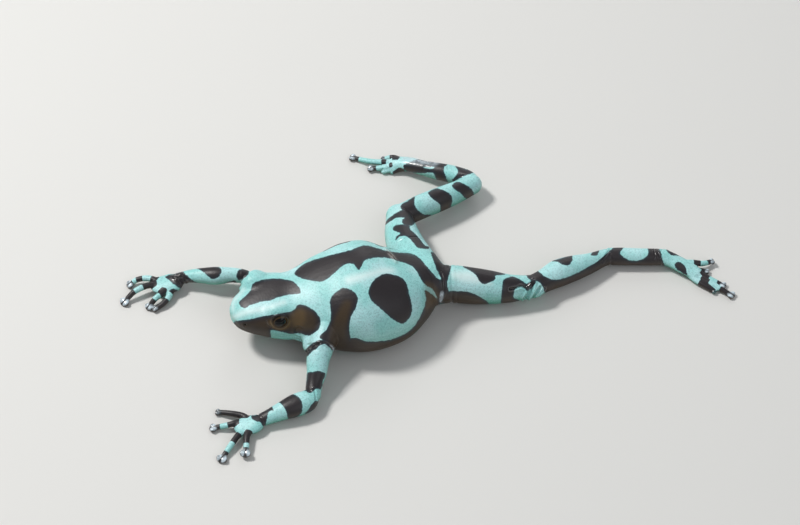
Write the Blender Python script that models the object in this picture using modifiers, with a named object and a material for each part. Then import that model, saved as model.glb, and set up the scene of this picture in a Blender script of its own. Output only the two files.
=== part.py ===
"""Green and black poison dart frog at life size, sprawled on its belly with one hind leg trailing.

The whole animal is drawn as overlapping closed forms, fused into one skin, relaxed, and then
parted at its joints by thin cuts. Sizes are in millimetres until the last step, which brings
each part to metres. The frog faces -X, the floor is z = 0, and the origin is the floor point
under the middle of the belly.
"""

import math

import bmesh
import bpy
import numpy as np
from mathutils import Matrix, Vector

METRES_PER_MM = 0.001
SNOUT = Vector((-21.2, -4.2, 0.0))
HEAD_TURN = math.radians(33.0)
GAP = 0.3
VOXEL = 0.25
TRIANGLE_SHARE = 0.07
FINE_SHARE = 1.0

# Head stations back from the snout: distance along the head's axis, half width to the left and
# to the right, underside, top, and the share of the height at which the section is widest.
HEAD = (
    (0.00, 0.3, 0.3, 5.4, 6.1, 0.50),
    (0.15, 1.5, 1.7, 5.1, 6.9, 0.50),
    (0.80, 2.6, 2.8, 4.5, 7.7, 0.48),
    (2.20, 4.0, 4.1, 3.6, 8.5, 0.44),
    (4.40, 5.9, 5.0, 2.7, 9.1, 0.40),
    (7.00, 7.3, 5.7, 2.0, 9.6, 0.35),
    (9.40, 7.6, 5.2, 1.6, 9.9, 0.36),
    (11.6, 6.8, 4.2, 1.6, 9.6, 0.38),
    (13.0, 4.5, 3.0, 2.4, 8.6, 0.40),
)

# Trunk stations from the neck to the vent: centre x and y, half width to the left and to the
# right, underside, back, and the share of the height at which the section is widest.
TRUNK = (
    (-14.2, 0.1, 4.2, 3.6, 2.6, 8.6, 0.42),
    (-12.6, 0.3, 6.6, 5.2, 1.6, 9.8, 0.38),
    (-9.6, 0.9, 8.5, 6.5, 0.7, 10.8, 0.38),
    (-6.6, 1.5, 9.6, 7.8, 0.1, 12.1, 0.38),
    (-3.2, 1.9, 10.6, 9.2, -0.5, 13.4, 0.36),
    (0.6, 2.4, 10.9, 9.7, -0.7, 13.7, 0.35),
    (4.4, 3.2, 9.7, 9.0, -0.6, 12.3, 0.36),
    (8.0, 4.6, 7.3, 7.2, 0.0, 10.5, 0.40),
    (11.0, 6.0, 4.6, 5.2, 1.0, 8.9, 0.44),
    (13.3, 7.2, 2.4, 3.0, 2.2, 7.4, 0.50),
    (14.2, 7.7, 0.6, 0.6, 3.4, 5.8, 0.50),
)
TRUNK_SQUARENESS = 2.25

# The eye and what surrounds it, as (along, left, height) in the head's own axes. The eyeball
# stands a little out of the dome of its lids, so that it fills the opening between them.
LID_DOME = (6.45, 3.85, 7.2)
LID_RADIUS = 2.8
EYE_RADIUS = 2.05
EYE_STANDS_OUT = 0.42
EYE_OUTWARD = (-0.45, 1.0, 0.35)
BROW_RADII = (2.9, 2.1, 1.9)
BROW_BACK = 1.0
BROW_DROP = 0.2
BROW_SPREAD = 0.12
OPENING_HALF_LENGTH = 1.5
OPENING_HALF_HEIGHT = 1.35
OPENING_DEPTH = 3.0
OPENING_FROM = 1.0
OPENING_INNER_SHARE = 0.92
OPENING_OUTER_SHARE = 1.25

MOUTH_FROM = 4.9
MOUTH_CORNER = (8.4, 3.9)
MOUTH_DEPTH = 0.34
MOUTH_HALF_WIDTH = 0.24
MOUTH_SAG = 0.35
MOUTH_END = 0.6
LIP_FULLNESS = 0.1
LIP_ABOVE = 0.55
LIP_HALF_WIDTH = 0.34
NOSTRILS = ((0.75, 2.3, 6.8), (0.75, -2.3, 6.8))
NOSTRIL_DEPTH = 0.5
NOSTRIL_RADIUS = 0.34
EARDRUMS = ((8.2, 7.8, 6.1), (8.4, -5.5, 6.1))
EARDRUM_RADIUS = 0.78
EARDRUM_RIM = 0.22
EARDRUM_DEPTH = 0.24
FINE_DEPTH = 0.05
FACE_HALF_WIDTH = 8.2
FACE_BEHIND_MOUTH = 3.0

# Limb stations: centre x, y, z, then half width and half height of the section.
LEFT_SHOULDER = ((-7.9, -7.5, 3.9), 1.9)
RIGHT_SHOULDER = ((-10.6, 6.0, 3.8), 2.1)
LEFT_ARM = (
    (-5.4, -6.0, 6.2, 2.6, 2.6),
    (-6.3, -8.6, 5.4, 2.2, 2.2),
    (-7.0, -11.1, 4.4, 1.95, 1.95),
    (-7.2, -13.2, 3.5, 1.7, 1.7),
    (-7.6, -15.1, 2.7, 1.4, 1.4),
    (-7.8, -16.9, 2.1, 1.3, 1.3),
)
LEFT_FOREARM = (
    (-7.8, -16.9, 2.1, 1.35, 1.35),
    (-8.9, -18.2, 2.0, 1.95, 1.7),
    (-10.7, -19.1, 1.95, 2.0, 1.7),
    (-12.6, -20.0, 1.8, 1.65, 1.45),
    (-14.6, -20.9, 1.5, 1.3, 1.2),
    (-16.2, -21.6, 1.3, 1.15, 0.95),
)
LEFT_PALM = (
    (-16.2, -21.6, 1.3, 1.15, 0.95),
    (-17.4, -22.3, 1.2, 1.8, 0.9),
    (-18.9, -22.7, 1.05, 1.75, 0.75),
)
RIGHT_ARM = (
    (-8.6, 5.4, 4.2, 2.2, 2.2),
    (-10.6, 6.6, 3.2, 2.0, 2.0),
    (-12.7, 7.6, 2.3, 1.75, 1.75),
    (-15.4, 8.2, 1.95, 1.6, 1.6),
    (-18.4, 8.2, 2.2, 1.4, 1.4),
    (-20.9, 8.5, 3.1, 1.25, 1.25),
)
RIGHT_FOREARM = (
    (-20.9, 8.5, 3.1, 1.25, 1.25),
    (-22.8, 8.7, 3.1, 1.35, 1.3),
    (-25.3, 8.7, 2.9, 1.6, 1.5),
    (-27.9, 9.1, 2.5, 1.35, 1.25),
    (-29.9, 9.3, 2.1, 1.15, 1.05),
    (-31.4, 9.2, 1.7, 1.1, 0.95),
)
RIGHT_PALM = (
    (-31.4, 9.2, 1.7, 1.1, 0.95),
    (-32.7, 8.4, 1.45, 2.0, 0.95),
    (-34.7, 8.0, 1.3, 1.9, 0.8),
)
LEFT_THIGH = (
    (10.8, 4.0, 5.2, 3.4, 3.5),
    (14.9, 5.5, 4.4, 3.2, 3.4),
    (18.7, 5.7, 3.7, 3.1, 3.3),
    (21.9, 5.7, 3.3, 2.9, 3.0),
    (25.0, 5.7, 3.0, 2.5, 2.5),
    (27.9, 6.1, 2.8, 2.1, 2.15),
    (29.7, 6.5, 2.7, 2.0, 2.0),
)
LEFT_SHANK = (
    (29.7, 6.5, 2.7, 2.0, 2.0),
    (31.6, 7.9, 2.6, 2.0, 2.1),
    (34.1, 9.6, 2.6, 2.4, 2.4),
    (37.0, 11.0, 2.4, 2.2, 2.2),
    (39.6, 12.3, 2.1, 1.8, 1.8),
    (41.9, 13.7, 1.85, 1.5, 1.5),
    (43.2, 14.2, 1.8, 1.5, 1.45),
)
LEFT_TARSUS = (
    (43.2, 14.2, 1.8, 1.55, 1.45),
    (45.4, 14.2, 1.8, 1.6, 1.5),
    (48.4, 14.15, 1.75, 1.55, 1.45),
    (51.1, 14.15, 1.7, 1.55, 1.4),
    (52.8, 14.15, 1.65, 1.5, 1.3),
)
LEFT_SOLE = (
    (52.8, 14.15, 1.65, 1.5, 1.3),
    (54.2, 13.5, 1.5, 1.45, 1.1),
    (56.2, 12.2, 1.3, 1.5, 0.95),
    (58.0, 11.0, 1.1, 1.35, 0.8),
)
RIGHT_THIGH = (
    (11.4, 5.8, 6.0, 3.3, 3.4),
    (9.0, 10.6, 5.5, 3.3, 3.2),
    (7.6, 13.9, 5.0, 3.3, 3.0),
    (6.9, 17.2, 4.4, 3.0, 2.8),
    (6.6, 19.9, 4.0, 2.6, 2.5),
    (6.3, 22.0, 3.7, 2.2, 2.2),
)
RIGHT_SHANK = (
    (6.3, 22.0, 3.7, 2.1, 2.1),
    (7.9, 22.9, 3.6, 2.1, 2.1),
    (10.4, 24.6, 3.5, 2.15, 2.2),
    (13.7, 26.5, 3.4, 2.1, 2.2),
    (17.0, 28.6, 3.2, 1.9, 2.0),
    (19.6, 30.6, 2.9, 1.7, 1.8),
)
RIGHT_TARSUS = (
    (19.6, 30.6, 2.9, 1.6, 1.7),
    (18.6, 32.2, 2.8, 1.55, 1.6),
    (16.0, 33.5, 2.6, 1.6, 1.6),
    (13.5, 34.4, 2.4, 1.55, 1.55),
    (10.9, 35.5, 2.1, 1.4, 1.35),
)
RIGHT_SOLE = (
    (10.9, 35.5, 2.1, 1.4, 1.35),
    (8.3, 36.8, 1.8, 1.45, 1.15),
    (5.9, 37.6, 1.4, 1.35, 0.9),
)

# Digits, each from the palm or sole out to the middle of its disc, and the disc's half width.
DIGITS = {
    "left_hand": (
        (((-18.0, -21.7, 1.1), (-19.3, -20.5, 1.0), (-21.3, -19.9, 0.9), (-23.5, -19.3, 0.45)), 0.62),
        (((-18.5, -22.2, 1.1), (-19.8, -22.0, 1.2), (-21.6, -22.4, 1.0), (-24.1, -22.6, 0.45)), 0.80),
        (((-18.7, -23.1, 1.1), (-19.9, -24.7, 1.1), (-21.0, -26.6, 0.9), (-22.3, -28.9, 0.45)), 0.95),
        (((-18.0, -23.3, 1.1), (-18.4, -25.0, 1.3), (-18.4, -26.6, 1.2), (-18.5, -28.1, 0.9)), 0.95),
    ),
    "right_hand": (
        (((-33.0, 7.4, 1.3), (-33.2, 5.6, 1.1), (-34.2, 4.1, 0.8), (-35.6, 3.2, 0.45)), 0.62),
        (((-33.8, 7.3, 1.3), (-34.5, 5.9, 1.4), (-35.5, 4.9, 1.3), (-36.6, 3.7, 0.45)), 0.80),
        (((-34.8, 8.0, 1.3), (-37.0, 7.6, 1.6), (-39.3, 6.3, 1.4), (-40.9, 4.8, 0.45)), 0.95),
        (((-34.8, 8.6, 1.3), (-37.0, 9.5, 1.3), (-39.0, 9.4, 1.1), (-40.3, 8.8, 0.45)), 0.80),
    ),
    "left_foot": (
        (((56.6, 12.6, 0.9), (58.2, 12.0, 0.8), (60.2, 11.8, 0.45)), 0.52),
        (((55.9, 12.9, 1.5), (57.6, 13.0, 1.5), (59.5, 13.1, 1.2), (61.2, 13.9, 0.8)), 0.62),
        (((57.4, 11.7, 1.2), (59.0, 10.7, 1.0), (60.9, 9.5, 0.8), (62.7, 8.6, 0.45)), 0.72),
        (((57.4, 11.0, 1.0), (59.2, 9.7, 0.9), (61.4, 8.1, 0.8), (63.9, 6.4, 0.45)), 0.80),
        (((56.6, 11.3, 0.9), (58.0, 9.6, 0.8), (59.7, 8.2, 0.7), (61.0, 7.3, 0.45)), 0.60),
    ),
    "right_foot": (
        (((8.0, 36.4, 1.2), (6.6, 36.3, 1.0), (5.2, 36.1, 0.5)), 0.48),
        (((6.8, 36.7, 1.2), (5.2, 36.4, 0.9), (3.6, 36.2, 0.5)), 0.52),
        (((6.4, 37.0, 1.3), (4.0, 36.7, 1.1), (1.2, 36.9, 0.5)), 0.72),
        (((6.2, 37.8, 1.3), (4.0, 37.9, 1.2), (1.2, 38.4, 0.9), (-2.1, 39.8, 0.45)), 0.80),
        (((6.6, 38.3, 1.4), (5.2, 39.0, 1.3), (3.5, 39.3, 0.5)), 0.66),
    ),
}
DIGIT_ROOT_RADIUS = 0.62
DIGIT_NECK_RADIUS = 0.44
DIGIT_FLATNESS = 0.95
DISC_LENGTH_SHARE = 0.8
DISC_HALF_THICKNESS = 0.42
PAD_SHARE = 0.5
PAD_HALF_HEIGHT = 0.26
PAD_RISE = 0.22
PAD_AHEAD = 0.12

# Where creases between the forms are filled and rounded, and how far round each place.
BODY_FILLETS = (
    ((-7.4, -7.4, 4.6), 4.0),
    ((-11.5, 5.6, 4.4), 3.6),
    ((13.6, 5.0, 4.6), 5.0),
    ((8.6, 11.4, 5.4), 4.6),
    ((-18.9, -22.7, 1.2), 2.0),
    ((-34.4, 7.9, 1.4), 2.2),
    ((57.6, 11.6, 1.2), 1.8),
    ((6.4, 37.2, 1.3), 1.8),
)
HEAD_FILLETS = (
    ((12.0, 6.8, 5.0), 4.6),
    ((11.5, -5.4, 6.0), 4.6),
    ((11.5, 0.0, 9.8), 5.0),
    ((7.6, 3.6, 9.4), 2.4),
    ((7.6, -3.6, 9.4), 2.4),
    ((3.8, 3.4, 8.4), 2.0),
    ((3.8, -3.4, 8.4), 2.0),
)
RELAX_ROUNDS = 8
RELAX_IN = 0.55
RELAX_OUT = -0.57
FILL_ROUNDS = 30
FILL_STRENGTH = 0.5

# Where a thin cut parts two bodies: a point, the way the limb runs there, and the cut's radius.
CUTS = (
    ("left_shoulder", (-7.4, -8.3, 4.2), (-0.25, -0.97, 0.0), 4.2),
    ("left_elbow", (-7.8, -16.9, 2.1), (-0.5, -0.85, -0.15), 2.2),
    ("left_wrist", (-16.2, -21.6, 1.3), (-0.85, -0.5, -0.1), 1.9),
    ("right_shoulder", (-12.9, 7.7, 2.3), (-0.93, 0.3, -0.2), 2.3),
    ("right_elbow", (-20.9, 8.5, 3.1), (-0.98, 0.2, 0.0), 1.9),
    ("right_wrist", (-31.4, 9.2, 1.7), (-0.96, -0.2, -0.15), 1.9),
    ("left_hip", (15.4, 5.5, 4.3), (1.0, 0.1, -0.15), 4.6),
    ("left_knee", (29.7, 6.5, 2.7), (0.9, 0.44, -0.02), 3.0),
    ("left_heel", (43.2, 14.2, 1.75), (0.95, 0.3, 0.0), 2.2),
    ("left_instep", (52.8, 14.0, 1.6), (0.97, -0.2, -0.05), 2.1),
    ("right_hip", (8.1, 13.4, 5.1), (-0.3, 0.95, -0.12), 4.0),
    ("right_knee", (6.3, 22.0, 3.7), (0.4, 0.92, -0.1), 3.1),
    ("right_heel", (19.6, 30.6, 2.9), (0.1, 0.99, -0.1), 3.2),
    ("right_instep", (10.9, 35.5, 2.1), (-0.9, 0.45, -0.12), 2.1),
)
NECK = (-11.2, 0.4, 6.0)
NECK_TURN = math.radians(20.3)
NECK_LEFT = 9.3
NECK_RIGHT = 6.6
NECK_HEIGHT = 15.0
FLOOR_SIZE = (160.0, 120.0, 6.0)
FLOOR_MIDDLE = (10.0, 5.0)
SMOOTH_BELOW = math.radians(55.0)

SKIN_GREEN = (0.20, 0.62, 0.53, 1.0)
SKIN_BLACK = (0.035, 0.025, 0.024, 1.0)
EYE_BLACK = (0.012, 0.009, 0.008, 1.0)
SKIN_ROUGHNESS = 0.35
EYE_ROUGHNESS = 0.08
DARK_PARTS = ("hand", "foot")
SIDES = ((1.0, "left"), (-1.0, "right"))


def level(turn):
    """Unit vectors back along the frog and out to its left, for a heading turned from -X."""
    back = Vector((math.cos(turn), math.sin(turn), 0.0))
    return back, Vector((math.sin(turn), -math.cos(turn), 0.0))


def head_point(along, left, height):
    """A point given in the head's axes: back from the snout, out to the frog's left, and up."""
    back, outward = level(HEAD_TURN)
    return SNOUT + back * along + outward * left + Vector((0.0, 0.0, height))


def head_direction(along, left, up):
    return (head_point(along, left, up) - SNOUT).normalized()


def smooth_rows(rows, steps):
    """Rows of numbers read along a Catmull-Rom curve, with this many steps to a span."""
    rows = np.array(rows, float)
    padded = np.vstack([2 * rows[0] - rows[1], rows, 2 * rows[-1] - rows[-2]])
    found = []
    for first in range(len(rows) - 1):
        a, b, c, d = padded[first : first + 4]
        for t in np.arange(steps) / steps:
            bend = (2 * a - 5 * b + 4 * c - d) * t**2 + (3 * b - a - 3 * c + d) * t**3
            found.append(0.5 * (2 * b + (c - a) * t + bend))
    return np.array(found + [rows[-1]])


def add_loft(form, rings):
    """A closed form over rings of equal counts, each end closed by one face."""
    loops = [[form.verts.new(point) for point in ring] for ring in rings]
    count = len(loops[0])
    for near, far in zip(loops, loops[1:]):
        for i in range(count):
            following = (i + 1) % count
            form.faces.new((near[i], near[following], far[following], far[i]))
    form.faces.new(list(reversed(loops[0])))
    form.faces.new(loops[-1])


def unit_ball():
    form = bmesh.new()
    bmesh.ops.create_uvsphere(form, u_segments=24, v_segments=16, radius=1.0)
    mesh = bpy.data.meshes.new("unit_ball")
    form.to_mesh(mesh)
    form.free()
    return mesh


def add_ball(form, centre, radii, forward=Vector((1.0, 0.0, 0.0))):
    """An ellipsoid whose first radius lies along forward and whose third points up."""
    forward = forward.normalized()
    side = Vector((0.0, 0.0, 1.0)).cross(forward).normalized()
    upward = forward.cross(side)
    turn = Matrix((forward, side, upward)).transposed().to_4x4()
    ball = unit_ball()
    ball.transform(Matrix.Translation(Vector(centre)) @ turn @ Matrix.Diagonal((*radii, 1.0)))
    form.from_mesh(ball)
    bpy.data.meshes.remove(ball)


def add_tube(form, stations, steps=5, sides=20):
    """A limb through (x, y, z, half width, half height) stations, with a ball at each end."""
    rows = smooth_rows(stations, steps)
    centres = [Vector(row[:3]) for row in rows]
    rings = []
    for i, row in enumerate(rows):
        ahead = centres[min(i + 1, len(rows) - 1)] - centres[max(i - 1, 0)]
        side = ahead.cross(Vector((0.0, 0.0, 1.0))).normalized()
        upward = side.cross(ahead).normalized()
        angles = 2 * math.pi * np.arange(sides) / sides
        rings.append(
            [
                centres[i] + side * (row[3] * math.cos(a)) + upward * (row[4] * math.sin(a))
                for a in angles
            ]
        )
    add_loft(form, rings)
    for end, inner in ((0, 1), (-1, -2)):
        width, height = rows[end][3:5]
        add_ball(form, centres[end], (width, width, height), centres[end] - centres[inner])


def body_ring(centre, outward, row, sides=56):
    """One section of the trunk: a superellipse, widest at its stated share of the height."""
    left_width, right_width, low, high, widest = row
    middle = low + (high - low) * widest
    power = 2.0 / TRUNK_SQUARENESS
    ring = []
    for angle in 2 * math.pi * np.arange(sides) / sides:
        across, rise = math.cos(angle), math.sin(angle)
        reach_out = left_width if across > 0 else right_width
        reach_up = (high - middle) if rise > 0 else (middle - low)
        left = reach_out * math.copysign(abs(across) ** power, across)
        height = middle + reach_up * math.copysign(abs(rise) ** power, rise)
        ring.append(centre + outward * left + Vector((0.0, 0.0, height)))
    return ring


def add_head(form):
    outward = level(HEAD_TURN)[1]
    rings = [
        body_ring(head_point(row[0], 0.0, 0.0), outward, row[1:]) for row in smooth_rows(HEAD, 5)
    ]
    add_loft(form, rings)


def add_trunk(form):
    rows = smooth_rows(TRUNK, 5)
    rings = []
    for i, row in enumerate(rows):
        ahead = rows[min(i + 1, len(rows) - 1)] - rows[max(i - 1, 0)]
        outward = level(math.atan2(ahead[1], ahead[0]))[1]
        rings.append(body_ring(Vector((row[0], row[1], 0.0)), outward, row[2:]))
    add_loft(form, rings)


def eye_axis(side):
    along, left, up = EYE_OUTWARD
    return head_direction(along, side * left, up)


def lid_centre(side):
    along, left, height = LID_DOME
    return head_point(along, side * left, height)


def eye_centre(side):
    return lid_centre(side) + eye_axis(side) * EYE_STANDS_OUT


def add_head_forms(form):
    """The domes of the eyelids and the brow that runs back from each."""
    for side, _ in SIDES:
        along, left, height = LID_DOME
        add_ball(form, lid_centre(side), (LID_RADIUS,) * 3)
        brow = head_point(along + BROW_BACK, side * (left - BROW_DROP), height - BROW_DROP)
        add_ball(form, brow, BROW_RADII, head_direction(1.0, BROW_SPREAD * side, 0.0))


def add_digit(form, path, disc_half_width):
    """A finger or toe that tapers to a neck and ends in a disc with two pads on top of it."""
    shares = np.linspace(0.0, 1.0, len(path))
    radii = DIGIT_ROOT_RADIUS + (DIGIT_NECK_RADIUS - DIGIT_ROOT_RADIUS) * shares
    stations = [(*point, r, r * DIGIT_FLATNESS) for point, r in zip(path, radii)]
    add_tube(form, stations, steps=4, sides=12)
    tip, before = Vector(path[-1]), Vector(path[-2])
    ahead = (tip - before).normalized()
    side = ahead.cross(Vector((0.0, 0.0, 1.0))).normalized()
    disc_length = disc_half_width * DISC_LENGTH_SHARE
    add_ball(form, tip, (disc_length, disc_half_width, DISC_HALF_THICKNESS), ahead)
    pad = disc_half_width * PAD_SHARE
    for across in (-1.0, 1.0):
        shift = side * (across * pad) + ahead * PAD_AHEAD + Vector((0.0, 0.0, PAD_RISE))
        add_ball(form, tip + shift, (pad, pad, PAD_HALF_HEIGHT), ahead)


def whole_form():
    """Every form of the animal in one mesh of overlapping closed shells."""
    form = bmesh.new()
    add_head(form)
    add_trunk(form)
    add_head_forms(form)
    for centre, radius in (LEFT_SHOULDER, RIGHT_SHOULDER):
        add_ball(form, centre, (radius,) * 3)
    for stations in (
        LEFT_ARM,
        LEFT_FOREARM,
        LEFT_PALM,
        RIGHT_ARM,
        RIGHT_FOREARM,
        RIGHT_PALM,
        LEFT_THIGH,
        LEFT_SHANK,
        LEFT_TARSUS,
        LEFT_SOLE,
        RIGHT_THIGH,
        RIGHT_SHANK,
        RIGHT_TARSUS,
        RIGHT_SOLE,
    ):
        add_tube(form, stations)
    for digits in DIGITS.values():
        for path, disc_half_width in digits:
            add_digit(form, path, disc_half_width)
    bmesh.ops.recalc_face_normals(form, faces=form.faces)
    mesh = bpy.data.meshes.new("whole_form")
    form.to_mesh(mesh)
    form.free()
    return mesh


def new_object(name, mesh, collection):
    made = bpy.data.objects.new(name, mesh)
    collection.objects.link(made)
    return made


def applied(obj):
    """The object's evaluated mesh as a new mesh, and the object's modifiers cleared."""
    graph = bpy.context.evaluated_depsgraph_get()
    mesh = bpy.data.meshes.new_from_object(obj.evaluated_get(graph))
    obj.modifiers.clear()
    old, obj.data = obj.data, mesh
    bpy.data.meshes.remove(old)
    return obj


def fuse(obj):
    """One closed skin over all the overlapping shells."""
    remesh = obj.modifiers.new("fuse", "REMESH")
    remesh.mode = "VOXEL"
    remesh.voxel_size = VOXEL
    return applied(obj)


def points_of(mesh):
    points = np.empty(len(mesh.vertices) * 3, np.float32)
    mesh.vertices.foreach_get("co", points)
    return points.reshape(-1, 3).astype(float)


def set_points(mesh, points):
    mesh.vertices.foreach_set("co", points.astype(np.float32).ravel())
    mesh.update()


def normals_of(mesh):
    normals = np.empty(len(mesh.vertices) * 3, np.float32)
    mesh.vertex_normals.foreach_get("vector", normals)
    return normals.reshape(-1, 3).astype(float)


def neighbour_means(mesh):
    """A function that gives, for points of this mesh, the mean of each point's neighbours."""
    ends = np.empty(len(mesh.edges) * 2, np.int32)
    mesh.edges.foreach_get("vertices", ends)
    ends = ends.reshape(-1, 2)
    here, there = np.r_[ends[:, 0], ends[:, 1]], np.r_[ends[:, 1], ends[:, 0]]
    count = np.bincount(here, minlength=len(mesh.vertices))

    def mean(points):
        sums = [np.bincount(here, points[there, axis], len(count)) for axis in range(3)]
        return np.stack(sums, axis=1) / count[:, None]

    return mean


def near(points, centre, radius):
    """A weight that falls smoothly from 1 at the centre to 0 at the radius."""
    distance = np.linalg.norm(points - np.array(centre), axis=1) / radius
    share = np.clip(1.0 - distance, 0.0, 1.0)
    return share * share * (3.0 - 2.0 * share)


def relax(mesh):
    """Smooths voxel steps without shrinking the digits, then fills the creases at the limbs' roots."""
    mean = neighbour_means(mesh)
    points = points_of(mesh)
    for _ in range(RELAX_ROUNDS):
        for strength in (RELAX_IN, RELAX_OUT):
            points += strength * (mean(points) - points)
    weight = np.zeros(len(points))
    for centre, radius in BODY_FILLETS:
        weight = np.maximum(weight, near(points, centre, radius))
    for place, radius in HEAD_FILLETS:
        weight = np.maximum(weight, near(points, head_point(*place), radius))
    for _ in range(FILL_ROUNDS):
        points += FILL_STRENGTH * weight[:, None] * (mean(points) - points)
    set_points(mesh, points)


def head_coordinates(points):
    """For each point, its distance behind the snout, to the left, and above the floor."""
    back, outward = (np.array(axis)[:2] for axis in level(HEAD_TURN))
    offset = points[:, :2] - np.array(SNOUT)[:2]
    return offset @ back, offset @ outward, points[:, 2]


def mouth_height(along):
    corner_along, corner_height = MOUTH_CORNER
    share = np.clip(along / corner_along, 0.0, 1.0)
    drop = (corner_height - MOUTH_FROM) * share
    return MOUTH_FROM + drop - MOUTH_SAG * np.sin(math.pi * share)


def hollow(distance, width):
    """A smooth weight that is 1 at no distance and falls away over the width."""
    return np.exp(-((distance / width) ** 2))


def distance_on_skin(points, place):
    """Each point's distance from the point of the skin that lies nearest to a place."""
    nearest = np.linalg.norm(points - np.array(place), axis=1).argmin()
    return np.linalg.norm(points - points[nearest], axis=1)


def carve_face(obj):
    """Presses in the line of the mouth, the nostrils and the rim of each eardrum."""
    mesh = obj.data
    points, normals = points_of(mesh), normals_of(mesh)
    along, left, height = head_coordinates(points)
    on_face = (np.abs(left) < FACE_HALF_WIDTH) & (along < MOUTH_CORNER[0] + FACE_BEHIND_MOUTH)
    within = 1.0 - np.clip((along - MOUTH_CORNER[0]) / MOUTH_END, 0.0, 1.0)
    rise = height - mouth_height(along)
    inward = MOUTH_DEPTH * hollow(rise, MOUTH_HALF_WIDTH) * within
    inward -= LIP_FULLNESS * hollow(rise - LIP_ABOVE, LIP_HALF_WIDTH) * within
    for place in NOSTRILS:
        away = distance_on_skin(points, head_point(*place))
        inward += NOSTRIL_DEPTH * hollow(away, NOSTRIL_RADIUS)
    for place in EARDRUMS:
        away = distance_on_skin(points, head_point(*place))
        inward += EARDRUM_DEPTH * hollow(away - EARDRUM_RADIUS, EARDRUM_RIM)
    inward[~on_face] = 0.0
    set_points(mesh, points - normals * inward[:, None])
    fine = obj.vertex_groups.new(name="fine")
    fine.add(np.flatnonzero(np.abs(inward) > FINE_DEPTH).tolist(), 1.0, "REPLACE")


def thin(obj):
    """Fewer triangles, which stay close together where the skin bends and on the face."""
    decimate = obj.modifiers.new("thin", "DECIMATE")
    decimate.ratio = TRIANGLE_SHARE
    decimate.vertex_group = "fine"
    decimate.invert_vertex_group = True
    decimate.vertex_group_factor = FINE_SHARE
    decimate.use_collapse_triangulate = True
    return applied(obj)


def disc_matrix(centre, axis):
    turn = Vector((0.0, 0.0, 1.0)).rotation_difference(Vector(axis).normalized())
    return Matrix.Translation(Vector(centre)) @ turn.to_matrix().to_4x4()


def cutter_object(name, draw, collection):
    form = bmesh.new()
    draw(form)
    mesh = bpy.data.meshes.new(name)
    form.to_mesh(mesh)
    form.free()
    made = new_object(name, mesh, collection)
    made.hide_render = True
    made.display_type = "WIRE"
    return made


def joint_cutters(collection):
    """A thin disc at each joint of the limbs, and a wide one across the neck."""
    for name, centre, axis, radius in CUTS:
        place = disc_matrix(centre, axis)

        def disc(form, place=place, radius=radius):
            bmesh.ops.create_cone(
                form,
                cap_ends=True,
                segments=24,
                radius1=radius,
                radius2=radius,
                depth=GAP,
                matrix=place,
            )

        cutter_object("cut_" + name, disc, collection)

    def neck(form):
        back, outward = level(NECK_TURN)
        shape = Matrix.Diagonal((GAP, NECK_LEFT + NECK_RIGHT, NECK_HEIGHT, 1.0))
        middle = Vector(NECK) + outward * ((NECK_LEFT - NECK_RIGHT) / 2)
        turn = Matrix((back, outward, (0.0, 0.0, -1.0))).transposed().to_4x4()
        bmesh.ops.create_cube(form, size=1.0, matrix=Matrix.Translation(middle) @ turn @ shape)

    cutter_object("cut_neck", neck, collection)


def socket_cutters(collection):
    """A round socket for each eyeball, and the oval opening between its lids."""
    for side, word in SIDES:
        centre = eye_centre(side)
        outward = eye_axis(side)

        def socket(form, centre=centre):
            bmesh.ops.create_uvsphere(
                form,
                u_segments=28,
                v_segments=18,
                radius=EYE_RADIUS + GAP,
                matrix=Matrix.Translation(centre),
            )

        def opening(form, centre=centre, outward=outward):
            middle = centre + outward * (OPENING_FROM + OPENING_DEPTH / 2)
            shape = Matrix.Diagonal((OPENING_HALF_HEIGHT, OPENING_HALF_LENGTH, 1.0, 1.0))
            bmesh.ops.create_cone(
                form,
                cap_ends=True,
                segments=28,
                radius1=OPENING_INNER_SHARE,
                radius2=OPENING_OUTER_SHARE,
                depth=OPENING_DEPTH,
                matrix=lid_matrix(middle, outward) @ shape,
            )

        cutter_object("socket_" + word, socket, collection)
        cutter_object("opening_" + word, opening, collection)


def lid_matrix(centre, outward):
    """Axes of the opening between the lids: height first, then length, then outward."""
    length = head_direction(1.0, 0.0, 0.0)
    length = (length - outward * length.dot(outward)).normalized()
    height = length.cross(outward)
    turn = Matrix((height, length, outward)).transposed().to_4x4()
    return Matrix.Translation(centre) @ turn


def floor_cutter(collection):
    def slab(form):
        middle = Matrix.Translation((*FLOOR_MIDDLE, -FLOOR_SIZE[2] / 2))
        shape = Matrix.Diagonal((*FLOOR_SIZE, 1.0))
        bmesh.ops.create_cube(form, size=1.0, matrix=middle @ shape)

    cutter_object("floor", slab, collection)


def cut(obj, cutters):
    difference = obj.modifiers.new("cut", "BOOLEAN")
    difference.operation = "DIFFERENCE"
    difference.operand_type = "COLLECTION"
    difference.collection = cutters
    difference.solver = "EXACT"
    bpy.context.view_layer.update()
    applied(obj)
    for cutter in list(cutters.objects):
        bpy.data.objects.remove(cutter)


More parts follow.
